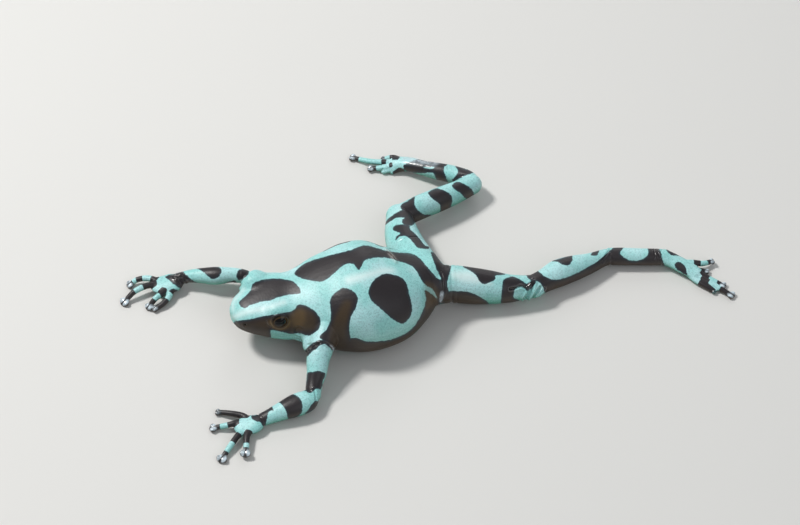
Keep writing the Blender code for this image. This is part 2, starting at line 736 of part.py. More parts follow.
# A point inside each part, by which the loose pieces get their names.
PART_MIDDLES = {
    "head": head_point(5.5, 0.0, 6.0),
    "torso": Vector((0.0, 2.0, 6.0)),
    "left_upper_arm": Vector((-7.1, -12.6, 3.8)),
    "left_forearm": Vector((-12.2, -19.5, 1.8)),
    "left_hand": Vector((-19.4, -23.4, 1.0)),
    "right_upper_arm": Vector((-17.0, 8.2, 2.2)),
    "right_forearm": Vector((-26.0, 9.0, 2.7)),
    "right_hand": Vector((-35.6, 7.0, 1.3)),
    "left_thigh": Vector((22.0, 5.8, 3.3)),
    "left_shank": Vector((36.6, 10.6, 2.4)),
    "left_tarsus": Vector((48.0, 14.0, 1.7)),
    "left_foot": Vector((57.6, 11.2, 1.1)),
    "right_thigh": Vector((7.4, 16.6, 4.6)),
    "right_shank": Vector((13.0, 26.2, 3.4)),
    "right_tarsus": Vector((15.2, 33.8, 2.5)),
    "right_foot": Vector((5.4, 37.4, 1.3)),
}


def loose_pieces(mesh):
    """The mesh's closed surfaces, each as a bmesh of its own, largest first."""
    form = bmesh.new()
    form.from_mesh(mesh)
    form.verts.ensure_lookup_table()
    seen, groups = set(), []
    for start in form.verts:
        if start.index in seen:
            continue
        seen.add(start.index)
        stack, group = [start], []
        while stack:
            vert = stack.pop()
            group.append(vert.index)
            for edge in vert.link_edges:
                other = edge.other_vert(vert)
                if other.index not in seen:
                    seen.add(other.index)
                    stack.append(other)
        groups.append(group)
    form.free()
    return sorted(groups, key=len, reverse=True)


def part_names(mesh, groups):
    """Names each group of vertices by the stated middle that lies nearest to its own."""
    points = points_of(mesh)
    names = {}
    for name, middle in PART_MIDDLES.items():
        gaps = [np.linalg.norm(points[g].mean(axis=0) - np.array(middle)) for g in groups]
        names[int(np.argmin(gaps))] = name
    return names


def split_parts(obj, collection):
    """Each closed surface of the cut frog as an object of its own."""
    groups = loose_pieces(obj.data)[: len(PART_MIDDLES)]
    for index, name in part_names(obj.data, groups).items():
        keep = set(groups[index])
        form = bmesh.new()
        form.from_mesh(obj.data)
        form.verts.ensure_lookup_table()
        others = [vert for vert in form.verts if vert.index not in keep]
        bmesh.ops.delete(form, geom=others, context="VERTS")
        mesh = bpy.data.meshes.new(name)
        form.to_mesh(mesh)
        form.free()
        new_object(name, mesh, collection)
    bpy.data.objects.remove(obj)


def add_eyes(collection):
    for side, word in SIDES:
        form = bmesh.new()
        turn = Vector((0.0, 0.0, 1.0)).rotation_difference(eye_axis(side))
        place = Matrix.Translation(eye_centre(side)) @ turn.to_matrix().to_4x4()
        bmesh.ops.create_uvsphere(
            form, u_segments=24, v_segments=16, radius=EYE_RADIUS, matrix=place
        )
        mesh = bpy.data.meshes.new(word + "_eye")
        form.to_mesh(mesh)
        form.free()
        new_object(word + "_eye", mesh, collection)


def material(name, colour, roughness):
    made = bpy.data.materials.new(name)
    made.use_nodes = True
    shader = made.node_tree.nodes["Principled BSDF"]
    shader.inputs["Base Color"].default_value = colour
    shader.inputs["Roughness"].default_value = roughness
    shader.inputs["Metallic"].default_value = 0.0
    return made


def part_material(name):
    """The finish of one part: green or black skin, or the wet black of an eye."""
    if "eye" in name:
        return material(name + "_finish", EYE_BLACK, EYE_ROUGHNESS)
    dark = any(word in name for word in DARK_PARTS)
    return material(name + "_finish", SKIN_BLACK if dark else SKIN_GREEN, SKIN_ROUGHNESS)


def finish_parts(collection):
    """Brings each part to metres, gives it its own material and shades it smooth."""
    for obj in collection.objects:
        obj.data.transform(Matrix.Scale(METRES_PER_MM, 4))
        obj.data.materials.clear()
        obj.data.materials.append(part_material(obj.name))
        obj.data.shade_smooth()
        obj.data.set_sharp_from_angle(angle=SMOOTH_BELOW)


def main():
    for obj in list(bpy.data.objects):
        bpy.data.objects.remove(obj)
    parts = bpy.data.collections.new("poison_dart_frog")
    cutters = bpy.data.collections.new("cutters")
    cutters.hide_render = True
    bpy.context.scene.collection.children.link(parts)
    bpy.context.scene.collection.children.link(cutters)

    frog = fuse(new_object("frog", whole_form(), parts))
    relax(frog.data)
    carve_face(frog)
    thin(frog)
    joint_cutters(cutters)
    socket_cutters(cutters)
    floor_cutter(cutters)
    cut(frog, cutters)
    split_parts(frog, parts)
    add_eyes(parts)
    finish_parts(parts)


main()
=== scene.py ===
"""A life-size green and black poison dart frog, sprawled on its belly.

One moist, fine-grained skin is grown over the same forms as the parted solids, so that no seam
shows. Lids, mouth, folds and digit pads are shaped in the mesh, the eyes are separate balls, and
the blotches are drawn as outlines that a stencil casts onto the skin. Lengths are millimetres
until a mesh is handed over in metres.
"""

import logging
import math
from dataclasses import dataclass, field
from enum import Enum

import bmesh
import bpy
import numpy as np
from mathutils import Matrix, Vector


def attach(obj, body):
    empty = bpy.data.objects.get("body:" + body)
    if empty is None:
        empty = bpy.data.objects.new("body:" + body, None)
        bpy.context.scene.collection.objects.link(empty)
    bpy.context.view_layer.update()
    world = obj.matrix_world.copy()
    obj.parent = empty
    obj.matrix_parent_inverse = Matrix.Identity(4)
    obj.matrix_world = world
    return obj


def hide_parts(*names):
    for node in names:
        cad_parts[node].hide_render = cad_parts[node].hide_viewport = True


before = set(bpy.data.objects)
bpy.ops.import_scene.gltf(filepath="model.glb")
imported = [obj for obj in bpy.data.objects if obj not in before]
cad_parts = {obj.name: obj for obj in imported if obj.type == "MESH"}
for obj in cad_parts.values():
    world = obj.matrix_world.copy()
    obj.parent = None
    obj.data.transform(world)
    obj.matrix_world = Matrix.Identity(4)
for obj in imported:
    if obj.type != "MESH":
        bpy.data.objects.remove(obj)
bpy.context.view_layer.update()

LOG = logging.getLogger("frog")
METRES = 0.001
BODY = "root"
PHOTO_WIDTH = 800
PHOTO_HEIGHT = 525
OUTLINE_STEPS = 5
TINY = 1e-9
UP = Vector((0.0, 0.0, 1.0))

Array = np.ndarray
Station = tuple[float, ...]
Ends = tuple[float, float]
Form = bmesh.types.BMesh
Material = bpy.types.Material
Socket = bpy.types.NodeSocket


class Tone(Enum):
    """The two tones of a blotch: black laid on green, or green laid on black."""

    DARK = 1.0
    LIGHT = -1.0


class Side(Enum):
    """The frog's own left and right."""

    LEFT = 1.0
    RIGHT = -1.0


@dataclass(frozen=True)
class Viewpoint:
    """The place from which the frog is seen, and from which its blotches are cast."""

    elevation: float = math.radians(48.0)
    distance: float = 390.0
    target: tuple[float, float, float] = (6.6, 14.4, 0.0)
    lens: float = 100.0
    sensor: float = 36.0
    units_per_mm: float = 5.75
    reach: float = 9.0

    def backward(self) -> Vector:
        """The direction from the target to the eye."""
        return Vector((0.0, -math.cos(self.elevation), math.sin(self.elevation)))

    def position(self) -> Vector:
        """The eye's place in millimetres."""
        return Vector(self.target) + self.backward() * self.distance

    def flatten(self, points: Array) -> Array:
        """Where points fall in the frame of 800 by 525.

        Args:
            points: Rows of x, y, z in millimetres.

        Returns:
            Rows of across and down, in the frame's own units.
        """
        back = np.array(self.backward())
        right = np.array((1.0, 0.0, 0.0))
        upward = np.cross(back, right)
        offset = points - np.array(self.position())
        scale = self.lens / self.sensor * PHOTO_WIDTH / -(offset @ back)
        across = PHOTO_WIDTH / 2 + offset @ right * scale
        down = PHOTO_HEIGHT / 2 - offset @ upward * scale
        return np.stack((across, down), axis=1)

    def facing(self, points: Array, normals: Array) -> Array:
        """How far each point's surface is turned to the eye, from -1 to 1."""
        toward = np.array(self.position()) - points
        return (normals * toward).sum(axis=1) / np.linalg.norm(toward, axis=1)


VIEW = Viewpoint()


def level(turn: float) -> tuple[Vector, Vector]:
    """Unit vectors back along the frog and out to its left, for a heading turned from -X."""
    back = Vector((math.cos(turn), math.sin(turn), 0.0))
    return back, Vector((math.sin(turn), -math.cos(turn), 0.0))


def smooth_rows(rows: Array | tuple[Station, ...], steps: int, closed: bool = False) -> Array:
    """Rows of numbers read along a Catmull-Rom curve.

    Args:
        rows: The rows that the curve passes through.
        steps: How many steps there are between two rows.
        closed: Whether the curve returns to its first row.

    Returns:
        The rows along the curve.
    """
    rows = np.array(rows, float)
    if closed:
        padded = np.vstack([rows[-1], rows, rows[0], rows[1]])
        spans = len(rows)
    else:
        padded = np.vstack([2 * rows[0] - rows[1], rows, 2 * rows[-1] - rows[-2]])
        spans = len(rows) - 1
    found = []
    for first in range(spans):
        a, b, c, d = padded[first : first + 4]
        for t in np.arange(steps) / steps:
            bend = (2 * a - 5 * b + 4 * c - d) * t**2 + (3 * b - a - 3 * c + d) * t**3
            found.append(0.5 * (2 * b + (c - a) * t + bend))
    if not closed:
        found.append(rows[-1])
    return np.array(found)


def smoothstep(low: float, high: float, values: Array) -> Array:
    """A smooth rise from 0 at low to 1 at high."""
    share = np.clip((values - low) / (high - low), 0.0, 1.0)
    return share * share * (3.0 - 2.0 * share)


def along_path(points: Array, path: Array) -> tuple[Array, Array]:
    """Measures points against a path of straight steps.

    Args:
        points: Rows of two or three numbers.
        path: The path's rows, of as many numbers.

    Returns:
        Each point's distance from the path, and how far along the path it lies, from 0 to 1.
    """
    lengths = np.linalg.norm(np.diff(path, axis=0), axis=1)
    starts = np.r_[0.0, np.cumsum(lengths)]
    gap = np.full(len(points), np.inf)
    place = np.zeros(len(points))
    for start, end, before, length in zip(path, path[1:], starts, lengths):
        offset = points - start
        share = np.clip(offset @ (end - start) / length**2, 0.0, 1.0)
        away = np.linalg.norm(offset - share[:, None] * (end - start), axis=1)
        closer = away < gap
        gap[closer] = away[closer]
        place[closer] = before + share[closer] * length
    return gap, place / starts[-1]


def hollow(distance: Array, width: float) -> Array:
    """A smooth weight that is 1 at no distance and falls away over the width."""
    return np.exp(-((distance / width) ** 2))


def tint(red: int, green: int, blue: int) -> Station:
    """A colour as the eye sees it, turned into the shader's own linear scale.

    Args:
        red: Its red, from 0 to 255.
        green: Its green, on the same scale.
        blue: Its blue, on the same scale.

    Returns:
        Red, green, blue and full cover, from 0 to 1.
    """
    shares = (value / 255 for value in (red, green, blue))
    linear = (s / 12.92 if s < 0.04045 else ((s + 0.055) / 1.055) ** 2.4 for s in shares)
    return (*linear, 1.0)


def near(points: Array, centre: Vector | Station, radius: float) -> Array:
    """A weight that falls smoothly from 1 at the centre to 0 at the radius."""
    distance = np.linalg.norm(points - np.array(centre), axis=1)
    return 1.0 - smoothstep(0.0, radius, distance)


def around(points: Array, path: Array, margin: float) -> Array:
    """The indices of the points that lie in the box round a path, widened by a margin."""
    low, high = path.min(axis=0) - margin, path.max(axis=0) + margin
    return np.flatnonzero(((points > low) & (points < high)).all(axis=1))


def mesh_of(name: str, form: Form) -> bpy.types.Mesh:
    """Turns a form into a mesh and frees the form.

    Args:
        name: The mesh's name.
        form: The form.

    Returns:
        The mesh.
    """
    mesh = bpy.data.meshes.new(name)
    form.to_mesh(mesh)
    form.free()
    return mesh


def linked(name: str, data: bpy.types.ID) -> bpy.types.Object:
    """Puts a mesh, a light or a camera into the scene.

    Args:
        name: The object's name.
        data: What the object shows.

    Returns:
        The object.
    """
    made = bpy.data.objects.new(name, data)
    bpy.context.scene.collection.objects.link(made)
    return made


@dataclass(frozen=True)
class HeadAxes:
    """The head's own axes: back from the snout, out to the frog's left, and up."""

    snout: tuple[float, float, float] = (-21.2, -4.2, 0.0)
    turn: float = math.radians(33.0)

    def point(self, along: float, left: float, height: float) -> Vector:
        """A point of the head in the frog's frame."""
        back, outward = level(self.turn)
        return Vector(self.snout) + back * along + outward * left + Vector((0, 0, height))

    def direction(self, along: float, left: float, up: float) -> Vector:
        """A unit direction of the head in the frog's frame."""
        return (self.point(along, left, up) - Vector(self.snout)).normalized()

    def coordinates(self, points: Array) -> tuple[Array, Array, Array]:
        """Reads points in the head's own axes.

        Args:
            points: Rows of x, y, z in millimetres.

        Returns:
            Each point's distance behind the snout, to the left, and above the floor.
        """
        back, outward = (np.array(axis)[:2] for axis in level(self.turn))
        offset = points[:, :2] - np.array(self.snout)[:2]
        return offset @ back, offset @ outward, points[:, 2]


AXES = HeadAxes()


@dataclass(frozen=True)
class Digit:
    """A finger or toe: its path from the palm or sole to its disc, and the disc's half width.

    The bands are shares of its length, each pair the start and the end of a black ring.
    """

    path: tuple[Station, ...]
    disc: float
    bands: tuple[float, ...]
    pallor: float = 1.0

    def heading(self) -> Vector:
        """The way that the digit runs at its tip."""
        return (Vector(self.path[-1]) - Vector(self.path[-2])).normalized()

    def disc_place(self, points: Array) -> tuple[Array, Array, Array]:
        """Reads points in the axes of the digit's disc.

        Args:
            points: Rows of x, y, z in millimetres.

        Returns:
            Each point's place ahead of the disc's middle and across it, and its distance.
        """
        ahead = self.heading()
        across = ahead.cross(UP).normalized()
        offset = points - np.array(self.path[-1])
        away = np.linalg.norm(offset, axis=1)
        return offset @ np.array(ahead), offset @ np.array(across), away


@dataclass(frozen=True)
class Limb:
    """One limb: its segments from the root out, each a row of stations, and its digits.

    A station is centre x, y, z, then the section's half width and half height.
    """

    segments: tuple[tuple[Station, ...], ...]
    digits: tuple[Digit, ...]

    def line(self, steps: int = 6) -> Array:
        """The limb's stations from root to palm or sole, as one smooth run."""
        return smooth_rows([row for part in self.segments for row in part[:-1]], steps)


LEFT_ARM = Limb((
    ((-5.4, -6.0, 6.2, 2.6, 2.6), (-6.3, -8.6, 5.4, 2.2, 2.2), (-7.0, -11.1, 4.4, 1.95, 1.95),
     (-7.2, -13.2, 3.5, 1.7, 1.7), (-7.6, -15.1, 2.7, 1.4, 1.4), (-7.8, -16.9, 2.1, 1.3, 1.3)),
    ((-7.8, -16.9, 2.1, 1.35, 1.35), (-8.9, -18.2, 2.0, 1.95, 1.7), (-10.7, -19.1, 1.95, 2.0, 1.7),
     (-12.6, -20.0, 1.8, 1.65, 1.45), (-14.6, -20.9, 1.5, 1.3, 1.2),
     (-16.2, -21.6, 1.3, 1.15, 0.95)),
    ((-16.2, -21.6, 1.3, 1.15, 0.95), (-17.4, -22.3, 1.2, 1.8, 0.9),
     (-18.9, -22.7, 1.05, 1.75, 0.75)),
), (
    Digit(((-18.0, -21.7, 1.1), (-19.3, -20.5, 1.0), (-21.3, -19.9, 0.9), (-23.5, -19.3, 0.45)),
          0.62, (0.05, 0.90), 0.35),
    Digit(((-18.5, -22.2, 1.1), (-19.8, -22.0, 1.2), (-21.6, -22.4, 1.0), (-24.1, -22.6, 0.45)),
          0.80, (0.22, 0.56, 0.78, 0.92)),
    Digit(((-18.7, -23.1, 1.1), (-19.9, -24.7, 1.1), (-21.0, -26.6, 0.9), (-22.3, -28.9, 0.45)),
          0.95, (0.24, 0.52, 0.80, 0.92)),
    Digit(((-18.0, -23.3, 1.1), (-18.4, -25.0, 1.3), (-18.4, -26.6, 1.2), (-18.5, -28.1, 0.9)),
          0.95, (0.14, 0.66)),
))
RIGHT_ARM = Limb((
    ((-8.6, 5.4, 4.2, 2.2, 2.2), (-10.6, 6.6, 3.2, 2.0, 2.0), (-12.7, 7.6, 2.3, 1.75, 1.75),
     (-15.4, 8.2, 1.95, 1.6, 1.6), (-18.4, 8.2, 2.2, 1.4, 1.4), (-20.9, 8.5, 3.1, 1.25, 1.25)),
    ((-20.9, 8.5, 3.1, 1.25, 1.25), (-22.8, 8.7, 3.1, 1.35, 1.3), (-25.3, 8.7, 2.9, 1.6, 1.5),
     (-27.9, 9.1, 2.5, 1.35, 1.25), (-29.9, 9.3, 2.1, 1.15, 1.05), (-31.4, 9.2, 1.7, 1.1, 0.95)),
    ((-31.4, 9.2, 1.7, 1.1, 0.95), (-32.7, 8.4, 1.45, 2.0, 0.95), (-34.7, 8.0, 1.3, 1.9, 0.8)),
), (
    Digit(((-33.0, 7.4, 1.3), (-33.2, 5.6, 1.1), (-34.2, 4.1, 0.8), (-35.6, 3.2, 0.45)),
          0.62, (0.50, 0.92), 0.6),
    Digit(((-33.8, 7.3, 1.3), (-34.5, 5.9, 1.4), (-35.5, 4.9, 1.3), (-36.6, 3.7, 0.45)),
          0.80, (0.12, 0.44, 0.68, 0.90)),
    Digit(((-34.8, 8.0, 1.3), (-37.0, 7.6, 1.6), (-39.3, 6.3, 1.4), (-40.9, 4.8, 0.45)),
          0.95, (0.10, 0.44, 0.66, 0.90)),
    Digit(((-34.8, 8.6, 1.3), (-37.0, 9.5, 1.3), (-39.0, 9.4, 1.1), (-40.3, 8.8, 0.45)),
          0.80, (0.10, 0.32, 0.58, 0.76)),
))
LEFT_LEG = Limb((
    ((10.8, 4.0, 5.2, 3.4, 3.5), (14.9, 5.5, 4.4, 3.2, 3.4), (18.7, 5.7, 3.7, 3.1, 3.3),
     (21.9, 5.7, 3.3, 2.9, 3.0), (25.0, 5.7, 3.0, 2.5, 2.5), (27.9, 6.1, 2.8, 2.1, 2.15),
     (29.7, 6.5, 2.7, 2.0, 2.0)),
    ((29.7, 6.5, 2.7, 2.0, 2.0), (31.6, 7.9, 2.6, 2.0, 2.1), (34.1, 9.6, 2.6, 2.4, 2.4),
     (37.0, 11.0, 2.4, 2.2, 2.2), (39.6, 12.3, 2.1, 1.8, 1.8), (41.9, 13.7, 1.85, 1.5, 1.5),
     (43.2, 14.2, 1.8, 1.5, 1.45)),
    ((43.2, 14.2, 1.8, 1.55, 1.45), (45.4, 14.2, 1.8, 1.6, 1.5), (48.4, 14.15, 1.75, 1.55, 1.45),
     (51.1, 14.15, 1.7, 1.55, 1.4), (52.8, 14.15, 1.65, 1.5, 1.3)),
    ((52.8, 14.15, 1.65, 1.5, 1.3), (54.2, 13.5, 1.5, 1.45, 1.1), (56.2, 12.2, 1.3, 1.5, 0.95),
     (58.0, 11.0, 1.1, 1.35, 0.8)),
), (
    Digit(((56.6, 12.6, 0.9), (58.2, 12.0, 0.8), (60.2, 11.8, 0.45)), 0.52, (0.45, 0.88)),
    Digit(((55.9, 12.9, 1.5), (57.6, 13.0, 1.5), (59.5, 13.1, 1.2), (61.2, 13.9, 0.8)),
          0.62, (0.34, 0.56, 0.80, 0.92)),
    Digit(((57.4, 11.7, 1.2), (59.0, 10.7, 1.0), (60.9, 9.5, 0.8), (62.7, 8.6, 0.45)),
          0.72, (0.26, 0.56, 0.80, 0.92)),
    Digit(((57.4, 11.0, 1.0), (59.2, 9.7, 0.9), (61.4, 8.1, 0.8), (63.9, 6.4, 0.45)),
          0.80, (0.24, 0.44, 0.72, 0.92)),
    Digit(((56.6, 11.3, 0.9), (58.0, 9.6, 0.8), (59.7, 8.2, 0.7), (61.0, 7.3, 0.45)),
          0.60, (0.50, 1.0), 0.0),
))
RIGHT_LEG = Limb((
    ((11.4, 5.8, 6.0, 3.3, 3.4), (9.0, 10.6, 5.5, 3.3, 3.2), (7.6, 13.9, 5.0, 3.3, 3.0),
     (6.9, 17.2, 4.4, 3.0, 2.8), (6.6, 19.9, 4.0, 2.6, 2.5), (6.3, 22.0, 3.7, 2.2, 2.2)),
    ((6.3, 22.0, 3.7, 2.1, 2.1), (7.9, 22.9, 3.6, 2.1, 2.1), (10.4, 24.6, 3.5, 2.15, 2.2),
     (13.7, 26.5, 3.4, 2.1, 2.2), (17.0, 28.6, 3.2, 1.9, 2.0), (19.6, 30.6, 2.9, 1.7, 1.8)),
    ((19.6, 30.6, 2.9, 1.6, 1.7), (18.6, 32.2, 2.8, 1.55, 1.6), (16.0, 33.5, 2.6, 1.6, 1.6),
     (13.5, 34.4, 2.4, 1.55, 1.55), (10.9, 35.5, 2.1, 1.4, 1.35)),
    ((10.9, 35.5, 2.1, 1.4, 1.35), (8.3, 36.8, 1.8, 1.45, 1.15), (5.9, 37.6, 1.4, 1.35, 0.9)),
), (
    Digit(((8.0, 36.4, 1.2), (6.6, 36.3, 1.0), (5.2, 36.1, 0.5)), 0.48, (0.20, 0.98), 0.0),
    Digit(((6.8, 36.7, 1.2), (5.2, 36.4, 0.9), (3.6, 36.2, 0.5)), 0.52, (), 0.0),
    Digit(((6.4, 37.0, 1.3), (4.0, 36.7, 1.1), (1.2, 36.9, 0.5)), 0.72, (0.22, 0.34, 0.78, 0.90)),
    Digit(((6.2, 37.8, 1.3), (4.0, 37.9, 1.2), (1.2, 38.4, 0.9), (-2.1, 39.8, 0.45)),
          0.80, (0.24, 0.34, 0.84, 0.95)),
    Digit(((6.6, 38.3, 1.4), (5.2, 39.0, 1.3), (3.5, 39.3, 0.5)), 0.66, (0.06, 0.55), 0.6),
))
LIMBS = (LEFT_ARM, RIGHT_ARM, LEFT_LEG, RIGHT_LEG)
DIGITS = tuple(digit for limb in LIMBS for digit in limb.digits)


@dataclass(frozen=True)
class EyePlan:
    """Where an eye sits in the head's axes, how large it is, and the opening between its lids."""

    dome: tuple[float, float, float] = (6.45, 3.85, 7.2)
    lid_radius: float = 2.8
    radius: float = 2.05
    stands_out: float = 0.42
    outward: tuple[float, float, float] = (-0.45, 1.0, 0.35)
    brow_radii: tuple[float, float, float] = (2.9, 2.1, 1.9)
    brow_back: float = 1.0
    brow_drop: float = 0.2
    brow_spread: float = 0.12
    half_length: float = 1.42
    half_height: float = 1.32
    lid_thickness: float = 0.17

    def dome_centre(self, side: Side) -> Vector:
        """The middle of that side's dome of lids."""
        along, left, height = self.dome
        return AXES.point(along, side.value * left, height)

    def centre(self, side: Side) -> Vector:
        """The middle of that side's eyeball."""
        return self.dome_centre(side) + self.gaze(side) * self.stands_out

    def gaze(self, side: Side) -> Vector:
        """The way that side's pupil looks."""
        along, left, up = self.outward
        return AXES.direction(along, side.value * left, up)

    def lid_axes(self, side: Side) -> tuple[Vector, Vector, Vector]:
        """The axes of the opening between that side's lids.

        Args:
            side: The eye's side.

        Returns:
            Unit vectors along its length, along its height, and outward.
        """
        outward = self.gaze(side)
        length = AXES.direction(1.0, 0.0, 0.0)
        length = (length - outward * length.dot(outward)).normalized()
        height = (UP - outward * UP.dot(outward)).normalized()
        return length, height, outward


EYES = EyePlan()


@dataclass
class FrogForm:
    """The overlapping closed forms of trunk, head, limbs and digits, fused into one mesh.

    A row of the head is its distance behind the snout, the section's half widths to the left and
    the right, its lowest and highest points, and the share of its height at which it is widest. A
    row of the trunk is x and y, then the same five.
    """

    form: Form = field(default_factory=bmesh.new)
    voxel: float = 0.115
    squareness: float = 2.25
    steps: int = 8
    section_sides: int = 72
    limb_sides: int = 28
    digit_steps: int = 6
    digit_sides: int = 16
    ball_segments: int = 32
    ball_rings: int = 22
    digit_root: float = 0.62
    digit_neck: float = 0.44
    digit_flatness: float = 0.95
    disc_length_share: float = 0.8
    disc_half_thickness: float = 0.42
    pad_share: float = 0.5
    pad_half_height: float = 0.22
    pad_rise: float = 0.20
    pad_ahead: float = 0.08
    head: tuple[Station, ...] = (
        (0.00, 0.3, 0.3, 5.4, 6.1, 0.50), (0.15, 1.5, 1.7, 5.1, 6.9, 0.50),
        (0.80, 2.6, 2.8, 4.5, 7.7, 0.48), (2.20, 4.0, 4.1, 3.6, 8.5, 0.44),
        (4.40, 5.9, 5.0, 2.7, 9.1, 0.40), (7.00, 7.3, 5.7, 2.0, 9.6, 0.35),
        (9.40, 7.6, 5.2, 1.6, 9.9, 0.36), (11.6, 6.8, 4.2, 1.6, 9.6, 0.38),
        (13.0, 4.5, 3.0, 2.4, 8.6, 0.40),
    )
    trunk: tuple[Station, ...] = (
        (-14.2, 0.1, 4.2, 3.6, 2.6, 8.6, 0.42), (-12.6, 0.3, 6.6, 5.2, 1.6, 9.8, 0.38),
        (-9.6, 0.9, 8.5, 6.5, 0.7, 10.8, 0.38), (-6.6, 1.5, 9.6, 7.8, 0.1, 12.1, 0.38),
        (-3.2, 1.9, 10.6, 9.2, -0.5, 13.4, 0.36), (0.6, 2.4, 10.9, 9.7, -0.7, 13.7, 0.35),
        (4.4, 3.2, 9.7, 9.0, -0.6, 12.3, 0.36), (8.0, 4.6, 7.3, 7.2, 0.0, 10.5, 0.40),
        (11.0, 6.0, 4.6, 5.2, 1.0, 8.9, 0.44), (13.3, 7.2, 2.4, 3.0, 2.2, 7.4, 0.50),
        (14.2, 7.7, 0.6, 0.6, 3.4, 5.8, 0.50),
    )
    shoulders: tuple[tuple[Station, float], ...] = (
        ((-7.9, -7.5, 3.9), 1.9),
        ((-10.6, 6.0, 3.8), 2.1),
    )

    def add_loft(self, rings: list[list[Vector]]) -> None:
        """Adds a closed form over rings of equal counts, each end closed by one face.

        Args:
            rings: The rings, in their order along the form.
        """
        loops = [[self.form.verts.new(point) for point in ring] for ring in rings]
        count = len(loops[0])
        for first, second in zip(loops, loops[1:]):
            for i in range(count):
                following = (i + 1) % count
                self.form.faces.new((first[i], first[following], second[following], second[i]))
        self.form.faces.new(list(reversed(loops[0])))
        self.form.faces.new(loops[-1])

    def add_ball(
        self, centre: Vector | Station, radii: Station, forward: Vector = Vector((1.0, 0.0, 0.0))
    ) -> None:
        """Adds an ellipsoid.

        Args:
            centre: Its middle.
            radii: Its radii forward, to the side and upward.
            forward: The way that its first radius lies.
        """
        forward = forward.normalized()
        side = UP.cross(forward).normalized()
        turn = Matrix((forward, side, forward.cross(side))).transposed().to_4x4()
        ball = bmesh.new()
        bmesh.ops.create_uvsphere(
            ball, u_segments=self.ball_segments, v_segments=self.ball_rings, radius=1.0
        )
        mesh = mesh_of("ball", ball)
        place = Matrix.Translation(Vector(centre)) @ turn @ Matrix.Diagonal((*radii, 1.0))
        mesh.transform(place)
        self.form.from_mesh(mesh)
        bpy.data.meshes.remove(mesh)

    def add_tube(self, stations: tuple[Station, ...], steps: int, sides: int) -> None:
        """Adds a limb through its stations, with a ball at each end.

        Args:
            stations: The limb's stations.
            steps: How many steps there are between two stations.
            sides: How many sides its sections have.
        """
        rows = smooth_rows(stations, steps)
        centres = [Vector(row[:3]) for row in rows]
        angles = 2 * math.pi * np.arange(sides) / sides
        rings = []
        for i, row in enumerate(rows):
            ahead = centres[min(i + 1, len(rows) - 1)] - centres[max(i - 1, 0)]
            side = ahead.cross(UP).normalized()
            upward = side.cross(ahead).normalized()
            wide, high = side * row[3], upward * row[4]
            rings.append([centres[i] + wide * math.cos(a) + high * math.sin(a) for a in angles])
        self.add_loft(rings)
        for end, inner in ((0, 1), (-1, -2)):
            width, height = rows[end][3:5]
            self.add_ball(centres[end], (width, width, height), centres[end] - centres[inner])

    def section(self, centre: Vector, outward: Vector, row: Array) -> list[Vector]:
        """One section of head or trunk, a superellipse.

        Args:
            centre: The point on the floor below its middle.
            outward: The way to the frog's left there.
            row: The last five numbers of a row of the head or the trunk.

        Returns:
            The points round it.
        """
        left_width, right_width, low, high, widest = row
        middle = low + (high - low) * widest
        power = 2.0 / self.squareness
        ring = []
        for angle in 2 * math.pi * np.arange(self.section_sides) / self.section_sides:
            across, rise = math.cos(angle), math.sin(angle)
            reach_out = left_width if across > 0 else right_width
            reach_up = (high - middle) if rise > 0 else (middle - low)
            left = reach_out * math.copysign(abs(across) ** power, across)
            height = middle + reach_up * math.copysign(abs(rise) ** power, rise)
            ring.append(centre + outward * left + Vector((0.0, 0.0, height)))
        return ring

    def add_head(self) -> None:
        """Adds the head, the domes of its eyelids and the brows that run back from them."""
        outward = level(AXES.turn)[1]
        rows = smooth_rows(self.head, self.steps)
        rings = [self.section(AXES.point(row[0], 0.0, 0.0), outward, row[1:]) for row in rows]
        self.add_loft(rings)
        along, left, height = EYES.dome
        for side in Side:
            self.add_ball(EYES.dome_centre(side), (EYES.lid_radius,) * 3)
            inner = side.value * (left - EYES.brow_drop)
            brow = AXES.point(along + EYES.brow_back, inner, height - EYES.brow_drop)
            heading = AXES.direction(1.0, EYES.brow_spread * side.value, 0.0)
            self.add_ball(brow, EYES.brow_radii, heading)

    def add_trunk(self) -> None:
        """Adds the trunk from the neck to the vent, and the two shoulders."""
        rows = smooth_rows(self.trunk, self.steps)
        rings = []
        for i, row in enumerate(rows):
            ahead = rows[min(i + 1, len(rows) - 1)] - rows[max(i - 1, 0)]
            outward = level(math.atan2(ahead[1], ahead[0]))[1]
            rings.append(self.section(Vector((row[0], row[1], 0.0)), outward, row[2:]))
        self.add_loft(rings)
        for centre, radius in self.shoulders:
            self.add_ball(centre, (radius,) * 3)

    def add_digit(self, digit: Digit) -> None:
        """Adds a digit that tapers to a neck and ends in a disc with two pads on top of it.

        Args:
            digit: The finger or toe.
        """
        shares = np.linspace(0.0, 1.0, len(digit.path))
        radii = self.digit_root + (self.digit_neck - self.digit_root) * shares
        flat = self.digit_flatness
        stations = tuple((*point, r, r * flat) for point, r in zip(digit.path, radii))
        self.add_tube(stations, self.digit_steps, self.digit_sides)
        tip, ahead = Vector(digit.path[-1]), digit.heading()
        side = ahead.cross(UP).normalized()
        length = digit.disc * self.disc_length_share
        self.add_ball(tip, (length, digit.disc, self.disc_half_thickness), ahead)
        pad = digit.disc * self.pad_share
        for across in (-1.0, 1.0):
            rise = UP * self.pad_rise
            centre = tip + side * (across * pad) + ahead * self.pad_ahead + rise
            self.add_ball(centre, (pad, pad, self.pad_half_height), ahead)

